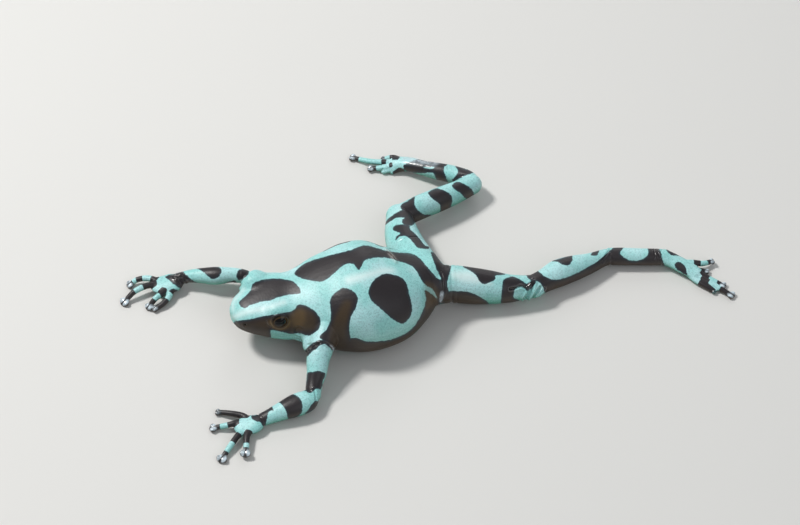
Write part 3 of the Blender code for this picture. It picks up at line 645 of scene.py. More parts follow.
    def fused(self) -> bpy.types.Object:
        """Fuses the whole animal into one closed skin.

        Returns:
            A mesh object in millimetres, linked to the scene.
        """
        self.add_head()
        self.add_trunk()
        for limb in LIMBS:
            for stations in limb.segments:
                self.add_tube(stations, self.steps, self.limb_sides)
            for digit in limb.digits:
                self.add_digit(digit)
        bmesh.ops.recalc_face_normals(self.form, faces=self.form.faces)
        skin = linked("frog_skin", mesh_of("frog_skin", self.form))
        remesh = skin.modifiers.new("fuse", "REMESH")
        remesh.mode = "VOXEL"
        remesh.voxel_size = self.voxel
        graph = bpy.context.evaluated_depsgraph_get()
        skin.data = bpy.data.meshes.new_from_object(skin.evaluated_get(graph))
        skin.modifiers.clear()
        return skin


class Membrane:
    """A mesh whose points can be read, smoothed and pushed along their normals."""

    def __init__(self, obj: bpy.types.Object) -> None:
        """Reads the mesh's points and the pairs of points that its edges join.

        Args:
            obj: The mesh object.
        """
        self.obj = obj
        self.count = len(obj.data.vertices)
        coordinates = np.empty(self.count * 3, np.float32)
        obj.data.vertices.foreach_get("co", coordinates)
        self.points = coordinates.reshape(-1, 3).astype(float)
        ends = np.empty(len(obj.data.edges) * 2, np.int32)
        obj.data.edges.foreach_get("vertices", ends)
        ends = ends.reshape(-1, 2)
        self.here = np.r_[ends[:, 0], ends[:, 1]]
        self.there = np.r_[ends[:, 1], ends[:, 0]]
        self.neighbours = np.bincount(self.here, minlength=self.count)

    def mean(self, values: Array) -> Array:
        """The mean of each point's neighbours, for rows of several numbers a point."""
        total = [np.bincount(self.here, axis[self.there], self.count) for axis in values.T]
        return np.stack([axis / self.neighbours for axis in total], axis=1)

    def normals(self) -> Array:
        """Reads the normals for the points as they are now.

        Returns:
            Each point's outward unit normal.
        """
        self.write()
        normals = np.empty(self.count * 3, np.float32)
        self.obj.data.vertex_normals.foreach_get("vector", normals)
        return normals.reshape(-1, 3).astype(float)

    def write(self) -> None:
        """Puts the points back into the mesh."""
        self.obj.data.vertices.foreach_set("co", self.points.astype(np.float32).ravel())
        self.obj.data.update()

    def push(self, outward: Array) -> None:
        """Moves each point along its normal by the given length."""
        self.points = self.points + self.normals() * outward[:, None]

    def relax(self, rounds: int, strengths: Ends = (0.55, -0.57)) -> None:
        """Smooths the voxel steps without shrinking thin digits.

        Args:
            rounds: How many times both strengths are applied.
            strengths: How far points move to their neighbours' mean, and then back from it.
        """
        for _ in range(rounds):
            for strength in strengths:
                self.points += strength * (self.mean(self.points) - self.points)

    def soften(self, weight: Array, rounds: int, strength: float = 0.5) -> None:
        """Smooths where the weight says, which fills creases and rounds ridges.

        Args:
            weight: How much each point is smoothed, from 0 to 1.
            rounds: How many times.
            strength: How far a point of weight 1 moves to its neighbours' mean each time.
        """
        chosen = weight[self.here] > 0.0
        here, there = self.here[chosen], self.there[chosen]
        moved = np.flatnonzero(weight > 0.0)
        share = strength * weight[moved, None]
        for _ in range(rounds):
            total = [np.bincount(here, axis[there], self.count)[moved] for axis in self.points.T]
            mean = np.stack(total, axis=1) / self.neighbours[moved, None]
            self.points[moved] += share * (mean - self.points[moved])

    def keep(self, name: str, values: Array) -> None:
        """Stores one number a point under a name that a material can read."""
        attribute = self.obj.data.attributes.new(name, "FLOAT", "POINT")
        attribute.data.foreach_set("value", values.astype(np.float32))


@dataclass(frozen=True)
class Fold:
    """A crease pressed round a joint, across the way that the limb runs there."""

    centre: Station
    heading: Station
    reach: float
    width: float
    depth: float
    fade: Ends = (0.6, 1.0)


@dataclass(frozen=True)
class Wrinkle:
    """A crease along a line as the viewpoint sees it, in the frame of 800 by 525.

    The skin beside it is swollen by a share of its depth, at a distance given in its widths.
    """

    line: tuple[tuple[float, float], ...]
    width: float = 0.14
    depth: float = 0.16
    swelling: float = 0.35
    swollen_at: float = 2.0


@dataclass(frozen=True)
class Dent:
    """A smooth dent, or a ridge where its depth is negative, along a line on the skin."""

    depth: float
    place: float
    width: float

    def weight(self, distance: Array) -> Array:
        """How near each distance is to the dent's place, from 0 to 1."""
        return hollow(distance - self.place, self.width)

    def press(self, distance: Array) -> Array:
        """How far the skin is pressed in at each distance."""
        return self.depth * self.weight(distance)


@dataclass(frozen=True)
class LidPlan:
    """The lids' shape, by reach: 1 at the edge of their opening, and more away from it."""

    front: float = 0.2
    limit: float = 4.2
    upper: Ends = (-0.2, 0.6)
    hugging: Ends = (1.05, 1.75)
    opening: Ends = (0.93, 1.03)
    opening_depth: float = 0.25
    rim_height: float = 0.05
    upper_rim_height: float = 0.07
    rim: Dent = Dent(1.0, 1.12, 0.11)
    lower_fold: Dent = Dent(0.12, 1.45, 0.13)
    groove: Dent = Dent(0.07, 1.29, 0.07)
    tan: Dent = Dent(1.0, 1.20, 0.17)
    rim_fade: Ends = (1.02, 1.16)


LIDS = LidPlan()
MOUTH = (Dent(0.40, 0.0, 0.16), Dent(-0.12, 0.46, 0.30), Dent(-0.10, -0.42, 0.28))
NOSTRIL = (Dent(0.50, 0.0, 0.19), Dent(-0.05, 0.42, 0.20))
EARDRUM_RIM = (Dent(0.13, 0.0, 0.15), Dent(-0.06, 0.32, 0.16))
JOINT_FOLDS = (
    # left shoulder, elbow and wrist
    Fold((-6.7, -9.4, 5.0), (-0.3, -0.85, -0.35), 2.9, 0.16, 0.22),
    Fold((-6.9, -10.3, 4.7), (-0.2, -0.9, -0.35), 2.6, 0.12, 0.08),
    Fold((-8.0, -17.2, 2.1), (-0.6, -0.8, 0.0), 2.2, 0.14, 0.16),
    Fold((-8.5, -17.5, 2.1), (-0.6, -0.8, 0.0), 2.0, 0.10, 0.08),
    Fold((-16.2, -21.6, 1.3), (-0.85, -0.5, 0.0), 1.8, 0.14, 0.10),
    # right elbow and wrist
    Fold((-20.9, 8.5, 3.1), (-1.0, 0.1, 0.0), 2.0, 0.14, 0.05),
    Fold((-31.4, 9.2, 1.7), (-1.0, -0.2, 0.0), 1.8, 0.14, 0.10),
    Fold((-30.8, 9.2, 1.8), (-1.0, -0.2, 0.0), 1.8, 0.10, 0.07),
    # left groin, knee, heel and ankle
    Fold((15.3, 5.5, 4.3), (1.0, 0.05, 0.0), 4.4, 0.22, 0.22),
    Fold((16.2, 5.6, 4.1), (1.0, 0.05, 0.0), 4.2, 0.14, 0.09),
    Fold((27.6, 5.9, 2.8), (0.9, -0.3, 0.2), 2.8, 0.14, 0.10),
    Fold((43.0, 14.1, 1.8), (0.95, 0.3, 0.0), 2.0, 0.15, 0.14),
    Fold((52.5, 14.0, 1.6), (0.97, -0.2, 0.0), 1.9, 0.13, 0.10),
    Fold((51.9, 14.0, 1.6), (0.97, -0.1, 0.0), 1.9, 0.10, 0.08),
    # right groin, knee, heel and ankle
    Fold((8.4, 12.6, 5.2), (-0.3, 0.95, -0.1), 3.9, 0.22, 0.26),
    Fold((6.4, 21.6, 3.8), (0.1, 1.0, 0.0), 2.9, 0.14, 0.14),
    Fold((7.0, 22.4, 3.7), (0.5, 0.85, 0.0), 2.8, 0.12, 0.12),
    Fold((19.3, 31.2, 2.9), (0.3, 0.95, 0.0), 2.6, 0.14, 0.14),
    Fold((11.2, 35.4, 2.1), (-0.9, 0.4, 0.0), 1.9, 0.12, 0.10),
)
WRINKLES = (
    # fleshy ridges over the left knee
    Wrinkle(((533, 283), (532, 287), (530.5, 290), (528, 294.5), (525, 298.5)), 0.24, 0.46, 0.5),
    Wrinkle(((540, 287), (537.5, 291), (534, 296), (531, 299)), 0.18, 0.34, 0.5),
    Wrinkle(((544, 288), (541.5, 292), (538, 295)), 0.15, 0.22, 0.5),
    Wrinkle(((510, 289), (516, 288), (521, 286.5), (525, 288), (527.5, 291)), 0.17, 0.26, 0.5),
    Wrinkle(((534, 279), (529, 283), (525, 287)), 0.12, 0.12),
    # wet wrinkles of the right wrist
    Wrinkle(((172, 277), (176, 280), (180, 284)), 0.12, 0.16, 0.6),
    Wrinkle(((175, 276), (178, 278), (181, 276.5), (184, 279), (186, 282)), 0.11, 0.18, 0.8),
    Wrinkle(((178, 273.5), (182, 274.5), (185, 277), (190, 280)), 0.11, 0.16, 0.8),
    # fold between the lumps of the left elbow
    Wrinkle(((314, 389), (315.5, 394), (315.5, 400)), 0.15, 0.22),
    Wrinkle(((304, 390), (309, 394), (314, 396)), 0.12, 0.10),
    # left heel and ankle
    Wrinkle(((610, 249), (606, 255), (602, 262)), 0.15, 0.16),
    Wrinkle(((655, 247), (654.5, 253), (656, 259)), 0.12, 0.12),
    Wrinkle(((659, 247), (658, 252), (660, 258)), 0.12, 0.14),
    Wrinkle(((662.5, 248), (661.5, 253), (664, 259)), 0.11, 0.10),
    # behind the left arm and over the left hip
    Wrinkle(((305, 352), (312, 347), (320, 343), (329, 344.5), (334, 351), (333, 358)), 0.16, 0.20),
    Wrinkle(((441, 272), (443, 280), (444, 290), (441, 300)), 0.16, 0.16),
    # in front of the left eye
    Wrinkle(((266, 321), (268, 325), (272, 328)), 0.14, 0.08),
    # low ridge over the end of the spine
    Wrinkle(((386, 249), (391, 255), (396, 262)), 0.40, -0.12, 0.0),
)


@dataclass
class Sculptor:
    """Shapes the fused form: filled creases, face, eyelids and the folds of the skin.

    A fillet is a centre and the radius round it within which the skin is smoothed. The places of
    the nostrils, the eardrums and the head's fillets are in the head's axes.
    """

    skin: Membrane
    mouth_from: float = 4.9
    mouth_corner: tuple[float, float] = (8.4, 3.9)
    mouth_sag: float = 0.35
    mouth_fade: float = 0.8
    face_half_width: float = 8.2
    face_behind_mouth: float = 3.0
    nostrils: tuple[Station, ...] = ((0.75, 2.3, 6.8), (0.75, -2.3, 6.8))
    eardrums: tuple[Station, ...] = ((8.2, 7.8, 6.1), (8.4, -5.5, 6.1))
    eardrum_radius: float = 0.78
    eardrum_sink: float = 0.05
    eardrum_edge: float = 0.1
    relax_rounds: int = 18
    fill_rounds: int = 145
    neck_rounds: int = 420
    line_steps: int = 4
    seen_above: float = 0.1
    moist: Ends = (0.02, 0.10)
    fold_moisture: float = 0.4
    disc_moisture: float = 0.8
    disc_groove: tuple[float, float] = (0.13, 0.09)
    disc_reach: float = 1.3
    disc_behind: float = 0.3
    floor: float = 0.012
    lid_tan: Array = field(init=False)
    lid_rim: Array = field(init=False)
    wet: Array = field(init=False)
    fillets: tuple[tuple[Station, float], ...] = (
        ((-7.4, -7.4, 4.6), 4.0), ((-11.5, 5.6, 4.4), 3.6), ((13.6, 5.0, 4.6), 5.0),
        ((8.6, 11.4, 5.4), 4.6), ((-18.9, -22.7, 1.2), 2.0), ((-34.4, 7.9, 1.4), 2.2),
        ((57.6, 11.6, 1.2), 1.8), ((6.4, 37.2, 1.3), 1.8), ((-17.8, 0.5, 9.4), 2.0),
        ((-16.6, 1.0, 9.7), 2.2), ((-15.2, 1.4, 9.8), 2.2),
    )
    head_fillets: tuple[tuple[Station, float], ...] = (
        ((12.0, 6.8, 5.0), 4.6), ((11.5, -5.4, 6.0), 4.6), ((11.5, 0.0, 9.8), 5.0),
        ((7.6, 3.6, 9.4), 2.4), ((7.6, -3.6, 9.4), 2.4), ((3.8, 3.4, 8.4), 2.0),
        ((3.8, -3.4, 8.4), 2.0),
    )
    neck: tuple[tuple[Station, float], ...] = (
        ((-12.6, 3.2, 9.0), 3.4), ((-12.1, 0.6, 9.9), 3.6), ((-11.8, -2.4, 9.7), 3.6),
        ((-11.5, -4.6, 8.6), 3.4), ((-11.3, -5.9, 7.3), 3.2), ((-11.1, -7.0, 5.8), 2.8),
        ((-12.8, 4.8, 6.0), 2.8),
    )

    def soften(self, fillets: list[tuple[Vector | Station, float]], rounds: int) -> None:
        """Smooths the skin within fillets.

        Args:
            fillets: The centre and the radius of each.
            rounds: How many times.
        """
        weight = np.zeros(self.skin.count)
        for centre, radius in fillets:
            weight = np.maximum(weight, near(self.skin.points, centre, radius))
        self.skin.soften(weight, rounds)

    def fill_creases(self) -> None:
        """Rounds the roots of the limbs, the brows, and most of all the neck."""
        self.skin.relax(self.relax_rounds)
        on_head = [(AXES.point(*place), radius) for place, radius in self.head_fillets]
        self.soften([*self.fillets, *on_head], self.fill_rounds)
        self.soften(list(self.neck), self.neck_rounds)

    def mouth_height(self, along: Array) -> Array:
        """Finds the line between the lips.

        Args:
            along: Distances behind the snout.

        Returns:
            The line's height above the floor at each of them.
        """
        corner_along, corner_height = self.mouth_corner
        share = np.clip(along / corner_along, 0.0, 1.0)
        drop = (corner_height - self.mouth_from) * share
        return self.mouth_from + drop - self.mouth_sag * np.sin(math.pi * share)

    def from_skin(self, place: Vector) -> Array:
        """Measures from the point of the skin that lies nearest to a place.

        Args:
            place: The place, on the skin or near it.

        Returns:
            Each point's distance from that nearest point.
        """
        points = self.skin.points
        nearest = np.linalg.norm(points - np.array(place), axis=1).argmin()
        return np.linalg.norm(points - points[nearest], axis=1)

    def carve_face(self) -> None:
        """Presses in the mouth, the nostrils and the eardrums with their rims."""
        skin = self.skin
        along, left, height = AXES.coordinates(skin.points)
        on_face = np.abs(left) < self.face_half_width
        on_face &= along < self.mouth_corner[0] + self.face_behind_mouth
        within = 1.0 - smoothstep(0.0, self.mouth_fade, along - self.mouth_corner[0])
        rise = height - self.mouth_height(along)
        inward = sum(dent.press(rise) for dent in MOUTH) * within
        for place in self.nostrils:
            away = self.from_skin(AXES.point(*place))
            inward += sum(dent.press(away) for dent in NOSTRIL)
        for place in self.eardrums:
            past = self.from_skin(AXES.point(*place)) - self.eardrum_radius
            inward += sum(dent.press(past) for dent in EARDRUM_RIM)
            inside = 1.0 - smoothstep(-self.eardrum_edge, self.eardrum_edge, past)
            inward += self.eardrum_sink * inside
        inward[~on_face] = 0.0
        skin.push(-inward)

    def open_lids(self) -> None:
        """Draws the lids close round each eyeball and opens them, with a rim and lower folds."""
        skin = self.skin
        self.lid_tan = np.zeros(skin.count)
        self.lid_rim = np.zeros(skin.count)
        for side in Side:
            centre = np.array(EYES.centre(side))
            length, height, outward = (np.array(axis) for axis in EYES.lid_axes(side))
            offset = skin.points - centre
            distance = np.linalg.norm(offset, axis=1)
            x = offset @ length / EYES.half_length
            y = offset @ height / EYES.half_height
            reach = np.hypot(x, y)
            facing = (offset @ outward > LIDS.front) & (distance < LIDS.limit)
            upper = smoothstep(*LIDS.upper, y)
            lower = 1.0 - upper
            hugging = (1.0 - smoothstep(*LIDS.hugging, reach)) * facing
            lid = EYES.radius + EYES.lid_thickness
            radial = distance + hugging * (lid - distance)
            rim_height = LIDS.rim_height + LIDS.upper_rim_height * upper
            radial += facing * LIDS.rim.weight(reach) * rim_height
            radial += facing * lower * LIDS.lower_fold.press(reach)
            radial -= facing * LIDS.groove.press(reach)
            inside = (1.0 - smoothstep(*LIDS.opening, reach)) * facing
            radial += inside * (EYES.radius - LIDS.opening_depth - radial)
            moved = centre + offset * (radial / distance)[:, None]
            skin.points[facing] = moved[facing]
            self.lid_tan = np.maximum(self.lid_tan, LIDS.tan.press(reach) * lower * facing)
            rim = (1.0 - smoothstep(*LIDS.rim_fade, reach)) * facing
            self.lid_rim = np.maximum(self.lid_rim, rim)

    def crease(self, fold: Fold) -> Array:
        """Measures a fold round a joint.

        Args:
            fold: The fold.

        Returns:
            How far each point is pressed in by it.
        """
        offset = self.skin.points - np.array(fold.centre)
        along = offset @ np.array(Vector(fold.heading).normalized())
        away = np.linalg.norm(offset, axis=1)
        fading = 1.0 - smoothstep(*fold.fade, away / fold.reach)
        return fold.depth * hollow(along, fold.width) * fading

    def wrinkle(self, wrinkle: Wrinkle, flat: Array, facing: Array) -> Array:
        """Measures a wrinkle, with the skin swollen beside it.

        Args:
            wrinkle: The wrinkle.
            flat: The points as the viewpoint sees them.
            facing: Which points the viewpoint sees.

        Returns:
            The inward depth for each point.
        """
        line = smooth_rows(wrinkle.line, self.line_steps)
        inward = np.zeros(self.skin.count)
        chosen = around(flat, line, VIEW.reach)
        chosen = chosen[facing[chosen]]
        gap = along_path(flat[chosen], line)[0] / VIEW.units_per_mm
        swollen = hollow(gap - wrinkle.swollen_at * wrinkle.width, wrinkle.width)
        inward[chosen] = wrinkle.depth * (hollow(gap, wrinkle.width) - wrinkle.swelling * swollen)
        return inward

    def fold_skin(self) -> None:
        """Presses fine folds into the joints, the armpits, the groin and the knee."""
        skin = self.skin
        inward = np.zeros(skin.count)
        for fold in JOINT_FOLDS:
            inward = np.maximum(inward, self.crease(fold))
        moisture = self.fold_moisture * smoothstep(*self.moist, inward)
        flat = VIEW.flatten(skin.points)
        facing = VIEW.facing(skin.points, skin.normals()) > self.seen_above
        fine = np.zeros(skin.count)
        for wrinkle in WRINKLES:
            fine += self.wrinkle(wrinkle, flat, facing)
        skin.push(-inward - fine)
        self.wet = np.maximum(moisture, smoothstep(*self.moist, np.abs(fine)))

    def part_discs(self) -> None:
        """Presses the groove between the two pads on top of each digit's disc."""
        skin = self.skin
        depth, width = self.disc_groove
        inward = np.zeros(skin.count)
        upward = skin.normals()[:, 2] > 0.0
        for digit in DIGITS:
            ahead, across, away = digit.disc_place(skin.points)
            on_disc = (away < digit.disc * self.disc_reach) & upward
            on_disc &= ahead > -self.disc_behind * digit.disc
            inward[on_disc] = depth * hollow(across[on_disc], width)
            self.wet[on_disc] = self.disc_moisture
        skin.push(-inward)

    def settle(self) -> None:
        """Presses what would pass through the floor flat onto it."""
        self.skin.points[:, 2] = np.maximum(self.skin.points[:, 2], self.floor)
        self.skin.write()


@dataclass(frozen=True)
class Blotch:
    """A named patch: a closed outline as the viewpoint sees it, in the frame of 800 by 525."""

    name: str
    outline: tuple[tuple[float, float], ...]
    tone: Tone = Tone.DARK

    def distance(self, flat: Array, margin: float) -> tuple[Array, Array]:
        """Signed distance from the outline, negative inside.

        Args:
            flat: The points as the viewpoint sees them.
            margin: How far outside the outline's box points are still measured.

        Returns:
            The indices of the points measured, and their distances.
        """
        loop = smooth_rows(self.outline, OUTLINE_STEPS, closed=True)
        chosen = around(flat, loop, margin)
        spots = flat[chosen]
        nearest = np.full(len(chosen), np.inf)
        crossings = np.zeros(len(chosen), bool)
        for start, end in zip(loop, np.roll(loop, -1, axis=0)):
            edge = end - start
            offset = spots - start
            share = np.clip(offset @ edge / max(edge @ edge, TINY), 0.0, 1.0)
            gap = offset - share[:, None] * edge
            nearest = np.minimum(nearest, (gap**2).sum(axis=1))
            between = (start[1] > spots[:, 1]) != (end[1] > spots[:, 1])
            rise = edge[1] if abs(edge[1]) > TINY else TINY
            crossings ^= between & (spots[:, 0] < offset[:, 1] / rise * edge[0] + start[0])
        distance = np.sqrt(nearest)
        return chosen, np.where(crossings, -distance, distance)


@dataclass(frozen=True)
class SoftMarks:
    """Marks of one kind: how strong they are, and how far their edges blur in the frame."""

    strength: float
    blur: float
    blotches: tuple[Blotch, ...]


TRUNK_BLOTCHES = (
    Blotch("crown of the head", (
        (239, 303.5), (241.5, 307), (245.5, 308), (249.5, 305.5), (260, 302), (271, 300),
        (281, 296.5), (290, 294.5), (299, 293.5), (300.5, 290.5), (297.5, 285.5), (293, 281.5),
        (286, 279.5), (276, 278.5), (265, 279.5), (257, 281.5), (252.5, 284.5), (250.5, 290),
        (245.5, 296), (240.5, 300.5))),
    Blotch("face mask", (
        (234, 322), (240, 320.5), (248, 319.5), (258, 317.5), (271, 315), (281, 313.3),
        (290, 311.8), (295, 309), (297, 305.5), (303, 305), (311, 308.5), (317, 313.5),
        (320.5, 320), (319.5, 327), (315.5, 332), (309, 335.5), (304, 334.5), (299, 333),
        (292, 334), (282, 332), (271.5, 330), (271, 335), (270, 342), (258, 342), (244, 335),
        (234, 329))),
    Blotch("stripe over the back", (
        (295, 275), (304, 264), (322, 257.5), (339, 253), (351, 250), (364, 245.5), (377, 248),
        (387, 251), (398, 252.5), (411, 253.5), (420, 258.5), (428, 268), (436, 277), (441, 281),
        (438, 288), (427, 286), (421, 279), (417, 271.5), (410, 265), (398, 261), (390, 258.5),
        (380, 257.5), (370, 258.5), (364, 261), (362, 265), (359.5, 270), (356.5, 268), (353, 264),
        (346, 264), (338, 269.5), (327, 279), (317, 281.5))),
    Blotch("rump", (
        (431, 252), (436, 255), (441, 262), (447, 263), (451, 266), (449, 275), (447, 284),
        (449, 292), (449, 300), (440, 304), (436, 295), (433, 290), (430, 286), (437, 283),
        (441, 279), (438, 272), (434, 262))),
    Blotch("shoulder", (
        (343, 288), (351, 290), (357, 295.5), (357, 305), (350.5, 318), (349.5, 329), (350.5, 338),
        (352, 350), (340, 357), (334, 350), (328, 344), (319.5, 337), (327, 329), (331, 317),
        (330, 301), (335, 293))),
    Blotch("flank", (
        (385, 274), (398, 276), (406, 282.5), (409, 294), (412, 307), (410, 317), (403, 323.5),
        (394, 320), (383, 310.5), (372, 301), (368.5, 292), (371, 284.5), (376.5, 278))),
    # The dark band along the lower flank: partly the belly's black, partly painted shade where the
    # flank turns under.
    Blotch("edge of the belly", (
        (334, 352), (352, 338), (366, 341.5), (382, 341), (393, 339), (404, 334.5), (411.5, 329),
        (418, 320.5), (423.5, 309.5), (426, 298.5), (425, 290), (434, 296), (440, 304), (430, 318),
        (418, 332), (400, 345), (370, 356), (340, 360))),
    Blotch("far edge of the back", (
        (314, 256), (328, 248.5), (341, 244), (354, 240.5), (368, 240), (352, 236), (330, 242),
        (316, 250))),
)
LIMB_BLOTCHES = (
    Blotch("ring round the left arm's root", (
        (304.5, 355), (306, 349.5), (310, 345), (315, 342), (321, 340), (330, 340), (340, 346),
        (334, 350), (331.5, 350), (329.5, 347.5), (325, 344.5), (320.5, 345), (316, 349),
        (312, 351.5), (308, 356))),
    Blotch("band on the left upper arm", (
        (307.5, 373), (313.5, 372), (318.5, 371), (323, 372.5), (325, 374), (323, 381),
        (321, 388.5), (315.5, 389), (312.5, 392), (309, 393), (305, 390.5), (302, 389.5),
        (304.5, 386), (306.5, 381))),
    Blotch("band on the left forearm", (
        (277.5, 401), (285, 396), (291, 394), (297, 396), (301.5, 401), (302.5, 407.5), (301, 414),
        (294.5, 418), (288.5, 419), (287, 414), (284.5, 407.5), (281, 403.5))),
    Blotch("under the left elbow", (
        (315.5, 401), (321, 402), (318, 406), (314.5, 409), (308, 413), (304, 415), (308, 410),
        (312, 404))),
    Blotch("left wrist", (
        (251.5, 415), (256, 415), (263.5, 409.5), (270.5, 405.5), (273.5, 410.5), (270, 411),
        (268, 414), (267, 418.5), (265.5, 425), (263, 426.5), (260.5, 422.5), (256, 421),
        (252, 418.5))),
    Blotch("right elbow", (
        (236.5, 276.5), (238, 271), (243, 268.5), (248, 269.5), (248.5, 274), (244, 278),
        (239, 280))),
    Blotch("saddle on the right forearm", (
        (195, 268), (203, 266), (213, 265.5), (220.5, 268), (221.5, 272), (218.5, 277),
        (213.5, 279), (209, 277), (204, 272.5), (199.5, 269.5))),
    Blotch("right wrist and underside of the forearm", (
        (165.5, 276.5), (173, 274), (181, 271), (187, 275.5), (193, 280.5), (201, 284.5),
        (209, 285.5), (220.5, 284.5), (234.5, 280.5), (236, 287), (214, 291), (192, 290),
        (184, 289.5), (179.5, 288), (174.5, 284.5), (169.5, 280.5))),
    Blotch("root of the right thumb", (
        (170, 290), (175, 289), (178.5, 292), (175, 297), (171, 302), (164, 305), (160, 303),
        (165, 298))),
    Blotch("outer edge of the right thumb", (
        (171.5, 301), (176, 296), (180.5, 291), (184, 291), (182, 296), (177, 300.5),
        (172.5, 304)), Tone.LIGHT),
    Blotch("top of the left thigh", (
        (463, 266), (478, 266.5), (490, 269), (505, 274), (496, 275.5), (495, 279), (491, 282),
        (484, 284), (479, 281), (476.5, 275.5), (470, 270.5))),
    Blotch("underside of the left thigh", (
        (444, 293), (449, 291), (468, 292), (478.5, 296), (488, 302.5), (484, 307), (446, 306))),
    Blotch("front of the left knee", (
        (502.5, 285.5), (503.5, 280), (508, 277.5), (514, 277), (520, 279.5), (525, 283),
        (528, 283.5), (533, 279), (536, 282), (532, 287.5), (529, 290), (527, 291), (523.5, 287.5),
        (518.5, 287), (515.5, 289), (514, 293), (514, 298), (520, 301), (512, 305), (501.5, 304),
        (501.5, 295))),
    Blotch("shank below the left knee", (
        (526.5, 274), (533, 269), (540, 272.5), (544, 276), (552, 279.5), (561, 279), (575, 274),
        (586, 268), (596.5, 262), (606, 254), (613, 249), (616, 256), (612, 268), (606, 272),
        (580, 286), (552, 294), (545, 292), (543.5, 288), (541, 284), (538, 281.5), (534, 281),
        (529, 279))),
    Blotch("top of the left shank", (
        (552, 261), (562, 258), (571, 255.5), (572.5, 259.5), (569, 265), (563, 264.5),
        (558, 262))),
    Blotch("spot by the left heel", (
        (590.5, 255), (594.5, 250.5), (599, 250), (596.5, 255.5))),
    Blotch("left tarsus", (
        (604, 256), (611, 250), (616, 246), (630, 243), (650, 244), (658, 247), (661, 254),
        (663, 261.5), (664.5, 265), (664, 271), (640, 271), (612, 270), (603, 264))),
    Blotch("oval on the left tarsus", (
        (620.5, 254), (622.5, 249), (628, 246), (636, 244), (644, 245), (647.5, 248.5), (648, 254),
        (643.5, 259), (634, 261), (626.5, 259)), Tone.LIGHT),
    Blotch("top of the left foot", (
        (666.5, 249.5), (671.5, 248.5), (676.5, 252), (683, 257), (677.5, 255.5), (671.5, 255),
        (668, 252))),
    Blotch("oval on the left foot", (
        (674.5, 265), (677.5, 262), (682.5, 263.5), (685.5, 267.5), (687, 275), (681, 272),
        (676.5, 269))),
    Blotch("forked mark on the right thigh", (
        (395, 225.5), (401, 224.5), (407, 225), (411, 227), (416, 229), (420, 233.5), (424.5, 240),
        (429.5, 248), (424, 249), (417.5, 247.5), (413.5, 243), (410.5, 239), (405.5, 236),
        (400, 236.5), (395.5, 240), (397, 236.5), (400, 233), (393, 230))),
    Blotch("right knee", (
        (385, 225), (387, 220), (393, 215), (399, 211.5), (405, 209), (409, 213), (407.5, 217.5),
        (403, 217.5), (397, 217.5), (391, 221))),
    Blotch("root of the right shank", (
        (400.5, 206.5), (407.5, 201), (414.5, 197), (414.5, 203), (416, 208), (420.5, 212.5),
        (425, 214.5), (431, 215), (428, 219), (418, 223), (411.5, 225.5), (404.5, 225), (402, 221),
        (405, 216))),
    Blotch("saddle on the right shank", (
        (428, 193.5), (432, 190), (438, 188.5), (446, 191.5), (451.5, 196), (452, 202), (450, 209),
        (446, 214), (440, 215), (440.5, 208), (439, 203.5), (433, 199))),
    Blotch("oval on the right shank", (
        (452, 186), (454.5, 183), (459, 182), (465, 184.5), (470.5, 188), (473.5, 192.5),
        (473.5, 197), (470, 200.5), (465, 198), (461, 193.5), (455, 189.5))),
    Blotch("right heel", (
        (455, 165), (462, 167.5), (470, 170), (477, 170.5), (470, 174), (461, 177.5),
        (453.5, 181.5), (452.5, 179.5), (456, 175.5), (458, 171))),
    Blotch("right tarsus", (
        (404, 165), (411, 164.5), (419.5, 164.5), (425, 168), (433, 168.5), (436, 165),
        (441, 162.5), (447, 164.5), (444, 167.5), (444, 171.5), (446, 177.5), (448, 183.5),
        (440, 182.5), (436, 178.5), (433, 173), (424, 173), (411.5, 172.5), (404.5, 170.5))),
    Blotch("spot on the right foot", (
        (390, 158.5), (392.5, 156.5), (399, 156.5), (398, 159.5), (392, 160))),
    Blotch("inner edge of the right thigh", (
        (409.5, 228), (413, 225), (418, 224), (431, 244), (426, 246), (421, 240.5),
        (415.5, 234)), Tone.LIGHT),
    Blotch("upper side of the right tarsus", (
        (406, 164), (413, 161), (421, 158.7), (430, 160.5), (440, 163), (444, 165), (436, 167),
        (425, 167), (414, 166))),
)
# Painted glints: pale highlights laid on the wet folds of the armpit and the groin.
GLEAMS = SoftMarks(0.8, 0.8, (
    Blotch("wet gleam in the armpit", (
        (329.5, 345), (331.5, 345.5), (334, 348.5), (336, 352), (335.5, 355.5), (332, 357.5),
        (333.5, 354), (333, 350.5), (331.5, 347.5))),
    Blotch("wet gleam in the groin", (
        (440.5, 292), (443.5, 291.5), (443.5, 296), (441.5, 302), (439.5, 301))),
))
# Painted sheen: pale reflected light laid along the top of the right tarsus.
PAINTED_SHEEN_MARKS = SoftMarks(0.6, 2.5, (
    Blotch("shine along the right tarsus", (
        (401, 156.5), (412, 154.5), (424, 156.5), (434, 160), (439, 163), (433, 166), (421, 165),
        (408, 163), (402, 161))),
))
# Painted highlights: the palest colour laid on the lit ridge from the snout to the left brow, the
# snout's rim, the left hip and the top of the left thigh.
PAINTED_HIGHLIGHT_MARKS = SoftMarks(0.75, 3.5, (
    Blotch("painted highlight from the snout to the left brow", (
        (231, 317), (238, 311), (248, 309), (259, 306.5), (271, 303.5), (284, 300), (286, 304),
        (272, 309), (260, 312.5), (248, 315), (237, 319))),
    Blotch("painted highlight on the rim of the snout", (
        (232, 300), (239, 293), (243, 288), (245, 290), (240, 296), (235, 304), (234, 312),
        (231, 309))),
    Blotch("painted highlight over the left hip", (
        (345, 277), (362, 272), (380, 268), (392, 268), (394, 272), (380, 275), (362, 281),
        (348, 284))),
    Blotch("painted highlight on top of the left thigh", (
        (452, 271), (470, 271), (480, 277), (492, 284), (480, 284), (462, 282), (452, 279))),
))
